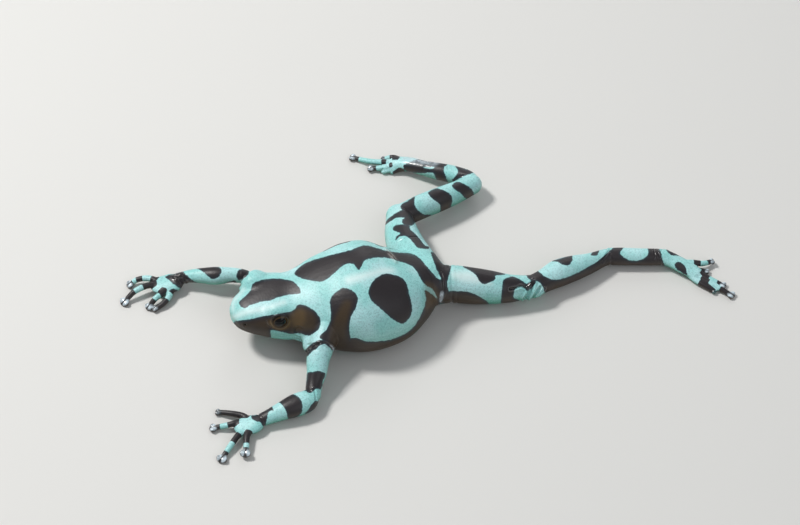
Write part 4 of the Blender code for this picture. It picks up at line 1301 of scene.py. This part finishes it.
# Painted warm reflected light: brown laid on the dark face and shoulder.
PAINTED_WARM_REFLECTIONS = SoftMarks(0.7, 3.0, (
    Blotch("painted warm reflection on the face", (
        (234, 324), (246, 322), (260, 320), (274, 318), (286, 315), (296, 309.5), (304, 308),
        (312, 312), (316.5, 320), (314, 329), (305, 331.5), (290, 331), (272, 327), (268, 339),
        (256, 340), (242, 332))),
    Blotch("painted warm reflection on the shoulder", (
        (344, 300), (352, 302), (349, 318), (347, 332), (350, 348), (340, 354), (330, 344),
        (330, 330), (336, 314))),
))
# Olive tints: painted warm reflected light behind the left eye, painted shade with warm reflected
# light before the left groin, and an olive streak on the ridge over the end of the spine.
OLIVE_MARKS = SoftMarks(0.42, 3.0, (
    Blotch("painted warm reflection behind the left eye", (
        (291, 314), (296, 309), (303, 309), (306, 314), (306, 322), (301, 328), (294, 327),
        (290, 321))),
    Blotch("ridge over the end of the spine", (
        (386, 249), (388, 249), (393, 255), (398, 262), (396, 263), (390, 256))),
    Blotch("olive skin before the left groin", (
        (424, 283), (432, 283), (438, 290), (440, 297), (434, 305), (426, 310), (424, 300))),
))
# x, y, then half length and half width of the pale spots under the trunk
BELLY_SPOTS = (
    (-8.6, -2.6, 1.6, 1.0), (-9.6, -1.0, 1.1, 1.0), (-7.4, 3.6, 1.4, 1.0), (-6.4, 5.0, 0.8, 1.2),
    (-3.4, -5.2, 1.6, 1.0), (-1.2, -4.4, 1.3, 0.8), (-1.9, 0.6, 1.5, 1.2), (-0.4, 2.0, 1.0, 1.1),
    (3.2, -2.8, 1.6, 0.9), (4.6, -1.8, 1.0, 1.0), (2.4, 6.2, 1.5, 1.1), (4.3, 7.0, 1.2, 0.8),
    (7.8, 2.6, 1.2, 1.0), (8.8, 3.9, 0.8, 0.9), (-15.8, -2.8, 1.8, 1.1), (-14.2, -1.4, 1.3, 1.1),
    (-17.8, -4.4, 0.9, 0.8), (0.8, -7.2, 0.7, 0.5), (-4.8, 1.8, 0.6, 0.6), (5.8, 2.8, 0.5, 0.7),
)


@dataclass(frozen=True)
class RingPlan:
    """How a digit's rings and its pads spread over the skin near its path, in millimetres.

    Pairs are the two ends of a smooth fade. The disc's fade and the pads' are in shares of the
    disc's half width, and the onset of the rings in shares of the first ring's start.
    """

    steps: int = 6
    margin: float = 1.6
    path_limit: float = 0.95
    disc_limit: float = 0.35
    unringed: float = 2.0
    disc_fade: Ends = (0.95, 1.25)
    disc_black: float = -0.4
    disc_cover: float = 3.0
    spread: float = 0.32
    least_weight: float = 1e-6
    steepness: float = 2.0
    start_unringed: float = 0.3
    onset: Ends = (0.4, 0.9)
    path_fade: Ends = (0.70, 0.94)
    disc_presence: Ends = (0.05, 0.33)
    pad_share: float = 0.5
    pad_back: float = 0.05
    pad_upward: Ends = (0.0, 0.5)
    pad_fade: Ends = (0.60, 0.95)


@dataclass
class Colouring:
    """Works out, for each point of the skin, how far it lies from the edge of the black.

    Pairs are the two ends of a smooth rise or fall.
    """

    skin: Membrane
    lid_tan: Array
    lid_rim: Array
    wet: Array
    spot_level: float = 0.40
    spot_slope: float = 2.2
    spot_limit: float = 1.5
    mirror_steps: int = 6
    mirror_shift: float = 1.5
    head_end: Ends = (9.0, 13.0)
    limb_root: Ends = (0.11, 0.17)
    limb_edge: Ends = (1.35, 1.8)
    root_blend: Ends = (0.3, 0.9)
    seen: Ends = (-0.12, 0.22)
    underside: Ends = (0.35, 0.75)
    # How far a point faces down, which sets the teal painted shade and the brown painted reflected
    # light.
    low: Ends = (-0.45, 0.70)
    # How much brown painted warm reflected light the dark skin takes where it faces down.
    low_brown: float = 0.75
    lid_black: float = -0.4
    inner_blur: float = -1.5
    rings: RingPlan = RingPlan()
    normals: Array = field(init=False)
    limb_share: Array = field(init=False)

    def __post_init__(self) -> None:
        """Reads the normals once."""
        self.normals = self.skin.normals()
        self.limb_share = np.zeros(self.skin.count)

    def cast(self, points: Array, blotches: tuple[Blotch, ...]) -> Array:
        """Casts blotches from the viewpoint onto points.

        Args:
            points: Rows of x, y, z in millimetres.
            blotches: The blotches, each laid over those before it.

        Returns:
            Each point's distance to the black in millimetres, negative inside it.
        """
        flat = VIEW.flatten(points)
        edge = np.full(len(points), VIEW.reach)
        for blotch in blotches:
            chosen, distance = blotch.distance(flat, VIEW.reach)
            if blotch.tone is Tone.DARK:
                edge[chosen] = np.minimum(edge[chosen], distance)
            else:
                edge[chosen] = np.maximum(edge[chosen], -distance)
        return edge / VIEW.units_per_mm

    def soft_share(self, marks: SoftMarks) -> Array:
        """Casts soft marks from the viewpoint onto the skin.

        Args:
            marks: The marks.

        Returns:
            How strongly each point shows them, from 0 to their strength.
        """
        flat = VIEW.flatten(self.skin.points)
        share = np.zeros(self.skin.count)
        for mark in marks.blotches:
            chosen, distance = mark.distance(flat, VIEW.reach)
            inside = 1.0 - smoothstep(self.inner_blur * marks.blur, marks.blur, distance)
            share[chosen] = np.maximum(share[chosen], inside)
        facing = smoothstep(*self.seen, VIEW.facing(self.skin.points, self.normals))
        return marks.strength * facing * share

    def mirrored(self) -> Array:
        """Finds each point's twin across the midline of the head or the trunk.

        Returns:
            The twins, as rows of x, y, z.
        """
        points = self.skin.points
        back, outward = (np.array(axis) for axis in level(AXES.turn))
        offset = points - np.array(AXES.snout)
        head = points - 2.0 * (offset @ outward)[:, None] * outward
        rows = smooth_rows(FrogForm.trunk, self.mirror_steps)
        middle = np.interp(points[:, 0], rows[:, 0], rows[:, 1])
        trunk = points.copy()
        trunk[:, 1] = 2.0 * middle - points[:, 1]
        trunk[:, 0] += self.mirror_shift
        share = smoothstep(*self.head_end, offset @ back)[:, None]
        return head + share * (trunk - head)

    def belly(self) -> Array:
        """Draws the underside: black, with pale spots that flow together.

        Returns:
            Each point's distance to the black in millimetres, negative inside it.
        """
        glow = np.zeros(self.skin.count)
        for x, y, length, width in BELLY_SPOTS:
            offset = (self.skin.points[:, :2] - (x, y)) / (length, width)
            glow += np.exp(-(offset**2).sum(axis=1))
        distance = (glow - self.spot_level) * self.spot_slope
        return np.clip(distance, -self.spot_limit, self.spot_limit)

    def measure_limbs(self) -> None:
        """Finds which points belong to a limb."""
        points = self.skin.points
        for limb in LIMBS:
            line = limb.line()
            share = np.linspace(0.0, 1.0, len(line))
            nearest = np.full(self.skin.count, np.inf)
            where = np.zeros(self.skin.count)
            for row, place in zip(line, share):
                gap = np.linalg.norm(points - row[:3], axis=1) / row[3]
                closer = gap < nearest
                nearest[closer] = gap[closer]
                where[closer] = place
            out = smoothstep(*self.limb_root, where)
            belongs = 1.0 - smoothstep(*self.limb_edge, nearest)
            self.limb_share = np.maximum(self.limb_share, out * belongs)

    def digits(self, edge: Array) -> tuple[Array, Array]:
        """Rings along each finger and toe, and the pale pads on their dark discs.

        Args:
            edge: Signed distance to the black over the rest of the skin.

        Returns:
            The signed distance with the rings in it, and how pale each point is.
        """
        plan, points, count = self.rings, self.skin.points, self.skin.count
        pale, total, ringed, fade, presence = (np.zeros(count) for _ in range(5))
        for digit in DIGITS:
            rows = smooth_rows(digit.path, plan.steps)
            length = np.linalg.norm(np.diff(rows, axis=0), axis=1).sum()
            own = around(points, rows, plan.margin)
            gap, place = along_path(points[own], rows)
            ahead, across, away = digit.disc_place(points[own])
            close = (gap < plan.path_limit) | (away < digit.disc + plan.disc_limit)
            own, gap, place = own[close], gap[close], place[close]
            ahead, across, away = ahead[close], across[close], away[close]
            dark = np.full(len(own), plan.unringed)
            for start, end in zip(digit.bands[::2], digit.bands[1::2]):
                dark = np.minimum(dark, np.maximum(start - place, place - end) * length)
            first, last = plan.disc_fade
            disc_edge = 1.0 - smoothstep(digit.disc * first, digit.disc * last, away)
            on_disc = disc_edge * min(1.0, plan.disc_cover * digit.pallor)
            dark = dark + on_disc * (plan.disc_black - dark)
            weight = hollow(gap, plan.spread) ** 2 + plan.least_weight
            total[own] += weight
            ringed[own] += weight * dark * plan.steepness
            start = digit.bands[0] if digit.bands else plan.start_unringed
            first, last = plan.onset
            fade[own] += weight * smoothstep(start * first, start * last, place)
            by_path = 1.0 - smoothstep(*plan.path_fade, gap)
            by_disc = 1.0 - smoothstep(*plan.disc_presence, away - digit.disc)
            presence[own] = np.maximum(presence[own], np.maximum(by_path, by_disc))
            pad = digit.disc * plan.pad_share
            behind = (ahead + plan.pad_back) / digit.disc
            from_pad = np.hypot((np.abs(across) - pad) / pad, behind)
            upper = smoothstep(*plan.pad_upward, self.normals[own, 2])
            pads = (1.0 - smoothstep(*plan.pad_fade, from_pad)) * upper * digit.pallor
            pale[own] = np.maximum(pale[own], pads)
        total = np.maximum(total, TINY)
        return edge + presence * fade / total * (ringed / total - edge), pale

    def store(self) -> None:
        """Writes the edge of the black and each kind of mark into the mesh, under its name."""
        points = self.skin.points
        self.measure_limbs()
        facing = smoothstep(*self.seen, VIEW.facing(points, self.normals))
        cast = self.cast(points, TRUNK_BLOTCHES)
        hidden = self.cast(self.mirrored(), TRUNK_BLOTCHES)
        under = smoothstep(*self.underside, -self.normals[:, 2])
        hidden = hidden + under * (self.belly() - hidden)
        trunk = hidden + facing * (cast - hidden)
        limbs = self.cast(points, LIMB_BLOTCHES)
        near_root = np.minimum(trunk, limbs)
        edge = near_root + smoothstep(*self.root_blend, self.limb_share) * (limbs - near_root)
        edge, pale = self.digits(edge)
        edge += self.lid_rim * (np.minimum(edge, self.lid_black) - edge)
        # Painted sheen along the right tarsus, which is also made wet.
        painted_sheen = self.soft_share(PAINTED_SHEEN_MARKS)
        # low: how far each point faces down, for teal painted shade and brown painted reflected
        # light.
        low = 1.0 - smoothstep(*self.low, self.normals[:, 2])
        # Painted glints, together with the painted sheen.
        gleaming = np.maximum(self.soft_share(GLEAMS), painted_sheen)
        values = {
            "black_edge": edge,
            # pale: the pads on the discs, and the painted glints and sheen.
            "pale": np.maximum(pale, gleaming),
            # tan: the lower lids' tan, and the olive tints, mostly painted warm reflected light.
            "tan": np.maximum(self.lid_tan, self.soft_share(OLIVE_MARKS)),
            "wet": np.maximum(self.wet, painted_sheen),
            "low": low,
            # Painted highlights on the lit tops of the snout, the left brow, the left hip and the
            # left thigh.
            "frost_and_highlight": self.soft_share(PAINTED_HIGHLIGHT_MARKS),
            # brown: painted warm reflected light on dark skin low down and on the face and
            # shoulder.
            "brown": np.maximum(self.low_brown * low, self.soft_share(PAINTED_WARM_REFLECTIONS)),
        }
        for name, value in values.items():
            self.skin.keep(name, value)


def group_socket(
    group: bpy.types.NodeTree, name: str, is_input: bool, value: float | None = None
) -> None:
    """Adds a named number to what a shader node group takes in or puts out.

    Args:
        group: The group.
        name: The socket's name.
        is_input: Whether the group takes it in.
        value: Its default, if it has one.
    """
    way = "INPUT" if is_input else "OUTPUT"
    made = group.interface.new_socket(name, in_out=way, socket_type="NodeSocketFloat")
    if value is not None:
        made.default_value = value


class NodeDesk:
    """A short way to add and join shader nodes in one tree."""

    def __init__(self, tree: bpy.types.NodeTree) -> None:
        """Keeps the tree that the nodes go into."""
        self.tree = tree

    def add(self, kind: str, settings: dict | None = None, **inputs: object) -> bpy.types.Node:
        """Adds a node, sets its own properties, and fills or joins its inputs.

        Args:
            kind: The node's type.
            settings: Properties of the node.
            inputs: A value or a socket for each input, under the input's name with _ for a space,
                or under i and the input's number.

        Returns:
            The node.
        """
        node = self.tree.nodes.new(kind)
        for name, value in (settings or {}).items():
            setattr(node, name, value)
        for name, value in inputs.items():
            key = int(name[1:]) if name[0] == "i" and name[1:].isdigit() else name.replace("_", " ")
            self.fill(node.inputs[key], value)
        return node

    def fill(self, socket: Socket, value: object) -> None:
        """Joins a socket to another, or gives it a value.

        Args:
            socket: The socket to fill.
            value: The socket that feeds it, or its value.
        """
        if isinstance(value, bpy.types.NodeSocket):
            self.tree.links.new(value, socket)
        else:
            socket.default_value = value

    def math(self, operation: str, first: object, second: object) -> Socket:
        """The result of one sum."""
        node = self.add("ShaderNodeMath", {"operation": operation}, i0=first, i1=second)
        return node.outputs[0]

    def times(self, first: object, second: object) -> Socket:
        """The product of two values."""
        return self.math("MULTIPLY", first, second)

    def ramp(self, value: object, ends: Ends, full: float = 1.0) -> Socket:
        """A smooth rise between two values.

        Args:
            value: What is compared with them.
            ends: The value at which it is 0, and the value from which it is full.
            full: How far it rises.

        Returns:
            The rise.
        """
        settings = {"interpolation_type": "SMOOTHSTEP"}
        low, high = ends
        node = self.add("ShaderNodeMapRange", settings, Value=value, From_Min=low, From_Max=high)
        rise = node.outputs["Result"]
        return rise if full == 1.0 else self.times(rise, full)

    def blend(self, share: object, first: object, second: object) -> Socket:
        """A colour between the first and the second."""
        node = self.add("ShaderNodeMix", {"data_type": "RGBA"}, i0=share, i6=first, i7=second)
        return node.outputs[2]

    def waver(self, edge: object, noise: object, amount: float) -> Socket:
        """An edge's distance with noise laid on it."""
        shift = self.times(self.math("SUBTRACT", noise, 0.5), amount)
        return self.math("ADD", edge, shift)

    def noise(self, place: object, scale: object, detail: float) -> Socket:
        """Soft noise at a scale in waves a metre."""
        node = self.add("ShaderNodeTexNoise", None, Vector=place, Scale=scale, Detail=detail)
        return node.outputs[0]

    def value(self, name: str) -> Socket:
        """A number that the mesh stores under a name."""
        return self.add("ShaderNodeAttribute", {"attribute_name": name}).outputs["Fac"]

    def place(self) -> Socket:
        """Where a point lies on the object, in metres."""
        return self.add("ShaderNodeTexCoord").outputs["Object"]


def new_material(name: str) -> tuple[Material, NodeDesk, bpy.types.ShaderNode]:
    """Starts a material.

    Args:
        name: Its name.

    Returns:
        The material, its nodes and its shader.
    """
    made = bpy.data.materials.new(name)
    made.use_nodes = True
    return made, NodeDesk(made.node_tree), made.node_tree.nodes["Principled BSDF"]


@dataclass(frozen=True)
class Grain:
    """The fine granules of moist amphibian skin, as a height and a mask of the hollows."""

    name: str = "Skin granules"
    granule_scale: float = 3400.0
    wrinkle_scale: float = 900.0
    wrinkle_detail: float = 3.0
    dome_top: float = 0.7
    dome_share: float = 0.6
    wrinkle_share: float = 0.5
    hollows: Ends = (0.35, 0.75)

    def group(self) -> bpy.types.NodeTree:
        """Builds the shader node group, once.

        Returns:
            The group.
        """
        found = bpy.data.node_groups.get(self.name)
        if found:
            return found
        group = bpy.data.node_groups.new(self.name, "ShaderNodeTree")
        group_socket(group, "Granule Scale", True, self.granule_scale)
        group_socket(group, "Wrinkle Scale", True, self.wrinkle_scale)
        group_socket(group, "Height", False)
        group_socket(group, "Hollows", False)
        desk = NodeDesk(group)
        granules, wrinkles = group.nodes.new("NodeGroupInput").outputs[:2]
        leave = group.nodes.new("NodeGroupOutput")
        place = desk.place()
        settings = {"feature": "SMOOTH_F1"}
        voronoi = desk.add("ShaderNodeTexVoronoi", settings, Vector=place, Scale=granules)
        cells = voronoi.outputs["Distance"]
        domes = desk.times(desk.math("SUBTRACT", self.dome_top, cells), self.dome_share)
        soft = desk.noise(place, wrinkles, self.wrinkle_detail)
        height = desk.math("ADD", domes, desk.times(soft, self.wrinkle_share))
        desk.fill(leave.inputs["Height"], height)
        desk.fill(leave.inputs["Hollows"], desk.ramp(cells, self.hollows))
        return group


@dataclass(frozen=True)
class SkinFinish:
    """Turquoise and black skin with granular edges, pale pads, a wet shine and painted light and
    shade.

    Scales are in waves a metre, pairs are the ends of a smooth rise, and shares say how much of a
    colour is laid on.
    """

    name: str = "moist_skin"
    mint: Station = tint(152, 220, 218)
    # Teal: painted shade on the surfaces that face down.
    teal: Station = tint(62, 144, 116)
    # The pale colour of the random pale patches and motes.
    frost_and_highlight: Station = tint(190, 237, 240)
    ink: Station = tint(72, 130, 132)
    black: Station = tint(37, 32, 36)
    # Brown: painted warm reflected light on the dark skin.
    brown: Station = tint(70, 54, 30)
    fringe: Station = tint(30, 56, 68)
    # Cream: the pale pads on the discs, and the painted glints and sheen.
    cream: Station = tint(206, 222, 232)
    # The colour of the painted highlights.
    highlight_white: Station = tint(226, 246, 246)
    # Bronze: the lower lids' tan, and the olive tints of painted warm reflected light.
    bronze: Station = tint(118, 94, 54)
    speckle_scale: float = 5200.0
    drift_scale: float = 1500.0
    patch_scale: float = 190.0
    mote_scale: float = 7400.0
    fine_detail: float = 1.0
    detail: float = 3.0
    drift_amount: float = 0.30
    speckle_amount: float = 0.26
    edge: Ends = (-0.05, 0.07)
    frosted: Ends = (0.35, 0.68)
    low_share: float = 0.95
    dots: Ends = (0.52, 0.70)
    dot_share: float = 0.34
    motes: Ends = (0.55, 0.72)
    mote_share: float = 0.45
    hollow_share: float = 0.20
    mottling: Ends = (0.30, 0.66)
    mottling_share: float = 0.5
    least_brown: float = 0.6
    fringing: Ends = (-0.50, 0.0)
    fringe_share: float = 0.6
    tan_share: float = 0.85
    breaking: Ends = (0.42, 0.56)
    least_pale: float = 0.5
    broken_share: float = 0.5
    roughness: float = 0.38
    rough_drift: float = 0.12
    wet_roughness: float = 0.13
    gloss: float = 0.5
    glow: float = 0.06
    glow_radius: Station = (0.0006, 0.0008, 0.0007)
    bump_strength: float = 0.5
    bump_depth: float = 0.00006

    def green(self, desk: NodeDesk, speckle: Socket, patches: Socket) -> Socket:
        """Lays down the pale parts' colours: mint, random pale patches and ink dots, with painted
        light and shade.

        Args:
            desk: The material's nodes.
            speckle: The finest noise.
            patches: The broadest noise.

        Returns:
            The colour.
        """
        hollows = desk.add("ShaderNodeGroup", {"node_tree": Grain().group()}).outputs["Hollows"]
        motes = desk.noise(desk.place(), self.mote_scale, self.fine_detail)
        layers = (
            (desk.ramp(patches, self.frosted), self.frost_and_highlight),
            # Teal on the surfaces that face down: painted shade.
            (desk.times(desk.value("low"), self.low_share), self.teal),
            (desk.ramp(speckle, self.dots, self.dot_share), self.ink),
            (desk.ramp(motes, self.motes, self.mote_share), self.frost_and_highlight),
            # Ink in the hollows between granules: painted shade.
            (desk.times(hollows, self.hollow_share), self.ink),
            # The palest colour on the lit tops: painted highlights.
            (desk.value("frost_and_highlight"), self.highlight_white),
        )
        colour = self.mint
        for share, over in layers:
            colour = desk.blend(share, colour, over)
        return colour

    def dusk(self, desk: NodeDesk, ragged: Socket, patches: Socket) -> Socket:
        """Lays down the dark parts' colours: black with brown painted warm reflected light, and a
        blue fringe at its edge.

        Args:
            desk: The material's nodes.
            ragged: The distance to the edge of the black, roughened.
            patches: The broadest noise.

        Returns:
            The colour.
        """
        mottled = desk.ramp(patches, self.mottling, self.mottling_share)
        # Brown laid on the black: painted warm reflected light.
        browned = desk.times(desk.value("brown"), desk.math("ADD", self.least_brown, mottled))
        colour = desk.blend(browned, self.black, self.brown)
        return desk.blend(desk.ramp(ragged, self.fringing, self.fringe_share), colour, self.fringe)

    def shine(self, desk: NodeDesk, shader: bpy.types.ShaderNode, drift: Socket) -> None:
        """Sets how smooth the skin is, dry and wet, with its granules.

        Args:
            desk: The material's nodes.
            shader: The material's shader.
            drift: The middle noise.
        """
        wet = desk.value("wet")
        rough = desk.math("ADD", self.roughness, desk.times(drift, self.rough_drift))
        dryness = desk.math("SUBTRACT", 1.0, wet)
        rough = desk.times(desk.math("SUBTRACT", rough, self.wet_roughness), dryness)
        desk.fill(shader.inputs["Roughness"], desk.math("ADD", rough, self.wet_roughness))
        desk.fill(shader.inputs["Coat Weight"], wet)
        height = desk.add("ShaderNodeGroup", {"node_tree": Grain().group()}).outputs["Height"]
        strength, depth = self.bump_strength, self.bump_depth
        bump = desk.add("ShaderNodeBump", None, Strength=strength, Distance=depth, Height=height)
        desk.fill(shader.inputs["Normal"], bump.outputs["Normal"])
        for name, value in (
            ("Coat Roughness", self.wet_roughness / 2),
            ("Specular IOR Level", self.gloss),
            ("Subsurface Weight", self.glow),
            ("Subsurface Radius", self.glow_radius),
            ("Subsurface Scale", 1.0),
        ):
            shader.inputs[name].default_value = value

    def material(self) -> Material:
        """Builds the material.

        Returns:
            The material.
        """
        made, desk, shader = new_material(self.name)
        place = desk.place()
        speckle = desk.noise(place, self.speckle_scale, self.fine_detail)
        drift = desk.noise(place, self.drift_scale, self.detail)
        patches = desk.noise(place, self.patch_scale, self.detail)
        ragged = desk.waver(desk.value("black_edge"), drift, self.drift_amount)
        ragged = desk.waver(ragged, speckle, self.speckle_amount)
        dusk, green = self.dusk(desk, ragged, patches), self.green(desk, speckle, patches)
        colour = desk.blend(desk.ramp(ragged, self.edge), dusk, green)
        # Bronze for the lower lids' tan and for the olive tints of painted warm reflected light.
        colour = desk.blend(desk.times(desk.value("tan"), self.tan_share), colour, self.bronze)
        # Cream for the pale pads on the discs and for the painted glints and sheen.
        broken = desk.ramp(drift, self.breaking, self.broken_share)
        pallor = desk.times(desk.value("pale"), desk.math("ADD", self.least_pale, broken))
        desk.fill(shader.inputs["Base Color"], desk.blend(pallor, colour, self.cream))
        self.shine(desk, shader, drift)
        return made


@dataclass(frozen=True)
class EyeFinish:
    """A wet black-brown eye with faint bronze flecks round a wide pupil.

    Pairs are the ends of a smooth rise, by the share of the eye's radius where they aren't noise.
    """

    name: str = "wet_eye"
    pupil: Station = (0.001, 0.001, 0.001, 1.0)
    iris: Station = (0.014, 0.009, 0.005, 1.0)
    bronze: Station = (0.120, 0.070, 0.025, 1.0)
    fleck_scale: float = 5200.0
    fleck_detail: float = 3.0
    flecks: Ends = (0.52, 0.70)
    fleck_share: float = 0.55
    pupil_edge: Ends = (0.34, 0.38)
    ring_inner: Ends = (0.36, 0.42)
    ring_outer: Ends = (0.42, 0.50)
    ring_share: float = 0.6
    roughness: float = 0.05
    gloss: float = 0.32

    def material(self) -> Material:
        """Builds the material.

        Returns:
            The material.
        """
        made, desk, shader = new_material(self.name)
        ring = desk.value("ring")
        noise = desk.noise(desk.place(), self.fleck_scale, self.fleck_detail)
        iris = desk.blend(desk.ramp(noise, self.flecks, self.fleck_share), self.iris, self.bronze)
        outer = desk.math("SUBTRACT", 1.0, desk.ramp(ring, self.ring_outer))
        bright = desk.times(desk.ramp(ring, self.ring_inner), outer)
        iris = desk.blend(desk.times(bright, self.ring_share), iris, self.bronze)
        colour = desk.blend(desk.ramp(ring, self.pupil_edge), self.pupil, iris)
        desk.fill(shader.inputs["Base Color"], colour)
        shader.inputs["Roughness"].default_value = self.roughness
        shader.inputs["Specular IOR Level"].default_value = self.gloss
        return made


@dataclass
class Eyeball:
    """One eye: a ball with a bulging cornea, looking out between the lids."""

    side: Side
    cornea_bulge: float = 0.12
    cornea_reach: float = 1.35
    pupil_stretch: float = 1.25
    segments: int = 96
    rings: int = 64

    def build(self, finish: Material) -> bpy.types.Object:
        """Makes the eyeball and hands it over in metres.

        Args:
            finish: The eye's material.

        Returns:
            The eyeball.
        """
        form = bmesh.new()
        segments, rings, radius = self.segments, self.rings, EYES.radius
        bmesh.ops.create_uvsphere(form, u_segments=segments, v_segments=rings, radius=radius)
        mesh = mesh_of(f"{self.side.name.lower()}_eyeball", form)
        eye = linked(mesh.name, mesh)
        surface = Membrane(eye)
        across, upward, outward = surface.points.T
        flat = np.sqrt((across / self.pupil_stretch) ** 2 + upward**2)
        away = np.sqrt(across**2 + upward**2)
        front = outward > 0
        bulge = self.cornea_bulge * (1.0 - smoothstep(0.0, self.cornea_reach, away)) * front
        surface.keep("ring", np.where(front, flat / EYES.radius, 1.0))
        surface.push(bulge)
        surface.write()
        length, height, gaze = EYES.lid_axes(self.side)
        turn = Matrix((length, height, gaze)).transposed().to_4x4()
        place = Matrix.Translation(EYES.centre(self.side)) @ turn
        mesh.transform(Matrix.Scale(METRES, 4) @ place)
        if place.determinant() < 0:
            mesh.flip_normals()
        mesh.materials.append(finish)
        mesh.shade_smooth()
        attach(eye, BODY)
        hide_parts(f"{self.side.name.lower()}_eye")
        return eye


@dataclass
class Frog:
    """The whole skin, shaped, coloured and set on the CAD frame."""

    form: FrogForm = field(default_factory=FrogForm)
    flesh: tuple[str, ...] = (
        "torso", "head",
        "left_upper_arm", "left_forearm", "left_hand",
        "right_upper_arm", "right_forearm", "right_hand",
        "left_thigh", "left_shank", "left_tarsus", "left_foot",
        "right_thigh", "right_shank", "right_tarsus", "right_foot",
    )

    def build(self, finish: Material) -> bpy.types.Object:
        """Makes the skin.

        Args:
            finish: The skin's material.

        Returns:
            The skin, in metres.
        """
        obj = self.form.fused()
        skin = Membrane(obj)
        LOG.info("fused %d points", skin.count)
        sculptor = Sculptor(skin)
        sculptor.fill_creases()
        sculptor.carve_face()
        sculptor.fold_skin()
        sculptor.part_discs()
        sculptor.open_lids()
        sculptor.settle()
        LOG.info("shaped the skin")
        Colouring(skin, sculptor.lid_tan, sculptor.lid_rim, sculptor.wet).store()
        skin.write()
        obj.data.transform(Matrix.Scale(METRES, 4))
        obj.data.materials.append(finish)
        obj.data.shade_smooth()
        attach(obj, BODY)
        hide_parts(*self.flesh)
        return obj


@dataclass(frozen=True)
class Studio:
    """A pale floor, soft lights and the camera at the photograph's angle.

    Each light is its name, its place, its size and its power, all in metres and watts, and its
    colour.
    """

    floor_size: float = 3.0
    floor_colour: Station = (0.74, 0.74, 0.725, 1.0)
    floor_roughness: float = 0.75
    background: Station = (0.86, 0.88, 0.90, 1.0)
    ambient: float = 0.34
    aim: Station = (0.01, 0.01, 0.005)
    clip_start: float = 0.01
    lights: tuple[tuple[str, Station, float, float, Station], ...] = (
        ("key", (-0.30, 0.14, 0.46), 0.10, 2.3, (1.0, 0.98, 0.95)),
        ("fill", (0.30, -0.32, 0.36), 0.40, 0.5, (0.94, 0.97, 1.0)),
        ("rear", (0.10, 0.50, 0.28), 0.30, 0.4, (1.0, 1.0, 1.0)),
    )

    def build_floor(self) -> None:
        """Lays the floor that the frog rests on."""
        form = bmesh.new()
        bmesh.ops.create_grid(form, x_segments=2, y_segments=2, size=self.floor_size / 2)
        floor = linked("floor", mesh_of("floor", form))
        made, _, shader = new_material("pale_floor")
        shader.inputs["Base Color"].default_value = self.floor_colour
        shader.inputs["Roughness"].default_value = self.floor_roughness
        floor.data.materials.append(made)

    def build_lights(self) -> None:
        """Hangs the soft lights and sets the plain surroundings."""
        aim = Vector(self.aim)
        bpy.context.scene.view_settings.view_transform = "Standard"
        for name, place, size, power, colour in self.lights:
            data = bpy.data.lights.new(name, "AREA")
            data.size = size
            data.energy = power
            data.color = colour
            light = linked(name, data)
            light.location = place
            light.rotation_euler = (aim - Vector(place)).to_track_quat("-Z", "Y").to_euler()
        world = bpy.data.worlds.new("studio")
        world.use_nodes = True
        sky = world.node_tree.nodes["Background"]
        sky.inputs["Color"].default_value = self.background
        sky.inputs["Strength"].default_value = self.ambient
        bpy.context.scene.world = world

    def build_camera(self) -> None:
        """Sets the camera at the photograph's viewing angle."""
        data = bpy.data.cameras.new("camera")
        data.lens = VIEW.lens
        data.sensor_width = VIEW.sensor
        data.clip_start = self.clip_start
        camera = linked("camera", data)
        camera.location = VIEW.position() * METRES
        camera.rotation_euler = VIEW.backward().to_track_quat("Z", "Y").to_euler()
        bpy.context.scene.camera = camera

    def build(self) -> None:
        """Builds the floor, the lights and the camera."""
        self.build_floor()
        self.build_lights()
        self.build_camera()


def main() -> None:
    """Builds the frog and its surroundings."""
    logging.basicConfig(level=logging.INFO, format="%(name)s: %(message)s")
    skin = Frog().build(SkinFinish().material())
    LOG.info("%s has %d faces", skin.name, len(skin.data.polygons))
    eye_material = EyeFinish().material()
    for side in Side:
        LOG.info("made %s", Eyeball(side).build(eye_material).name)
    Studio().build()


if __name__ == "__main__":
    main()
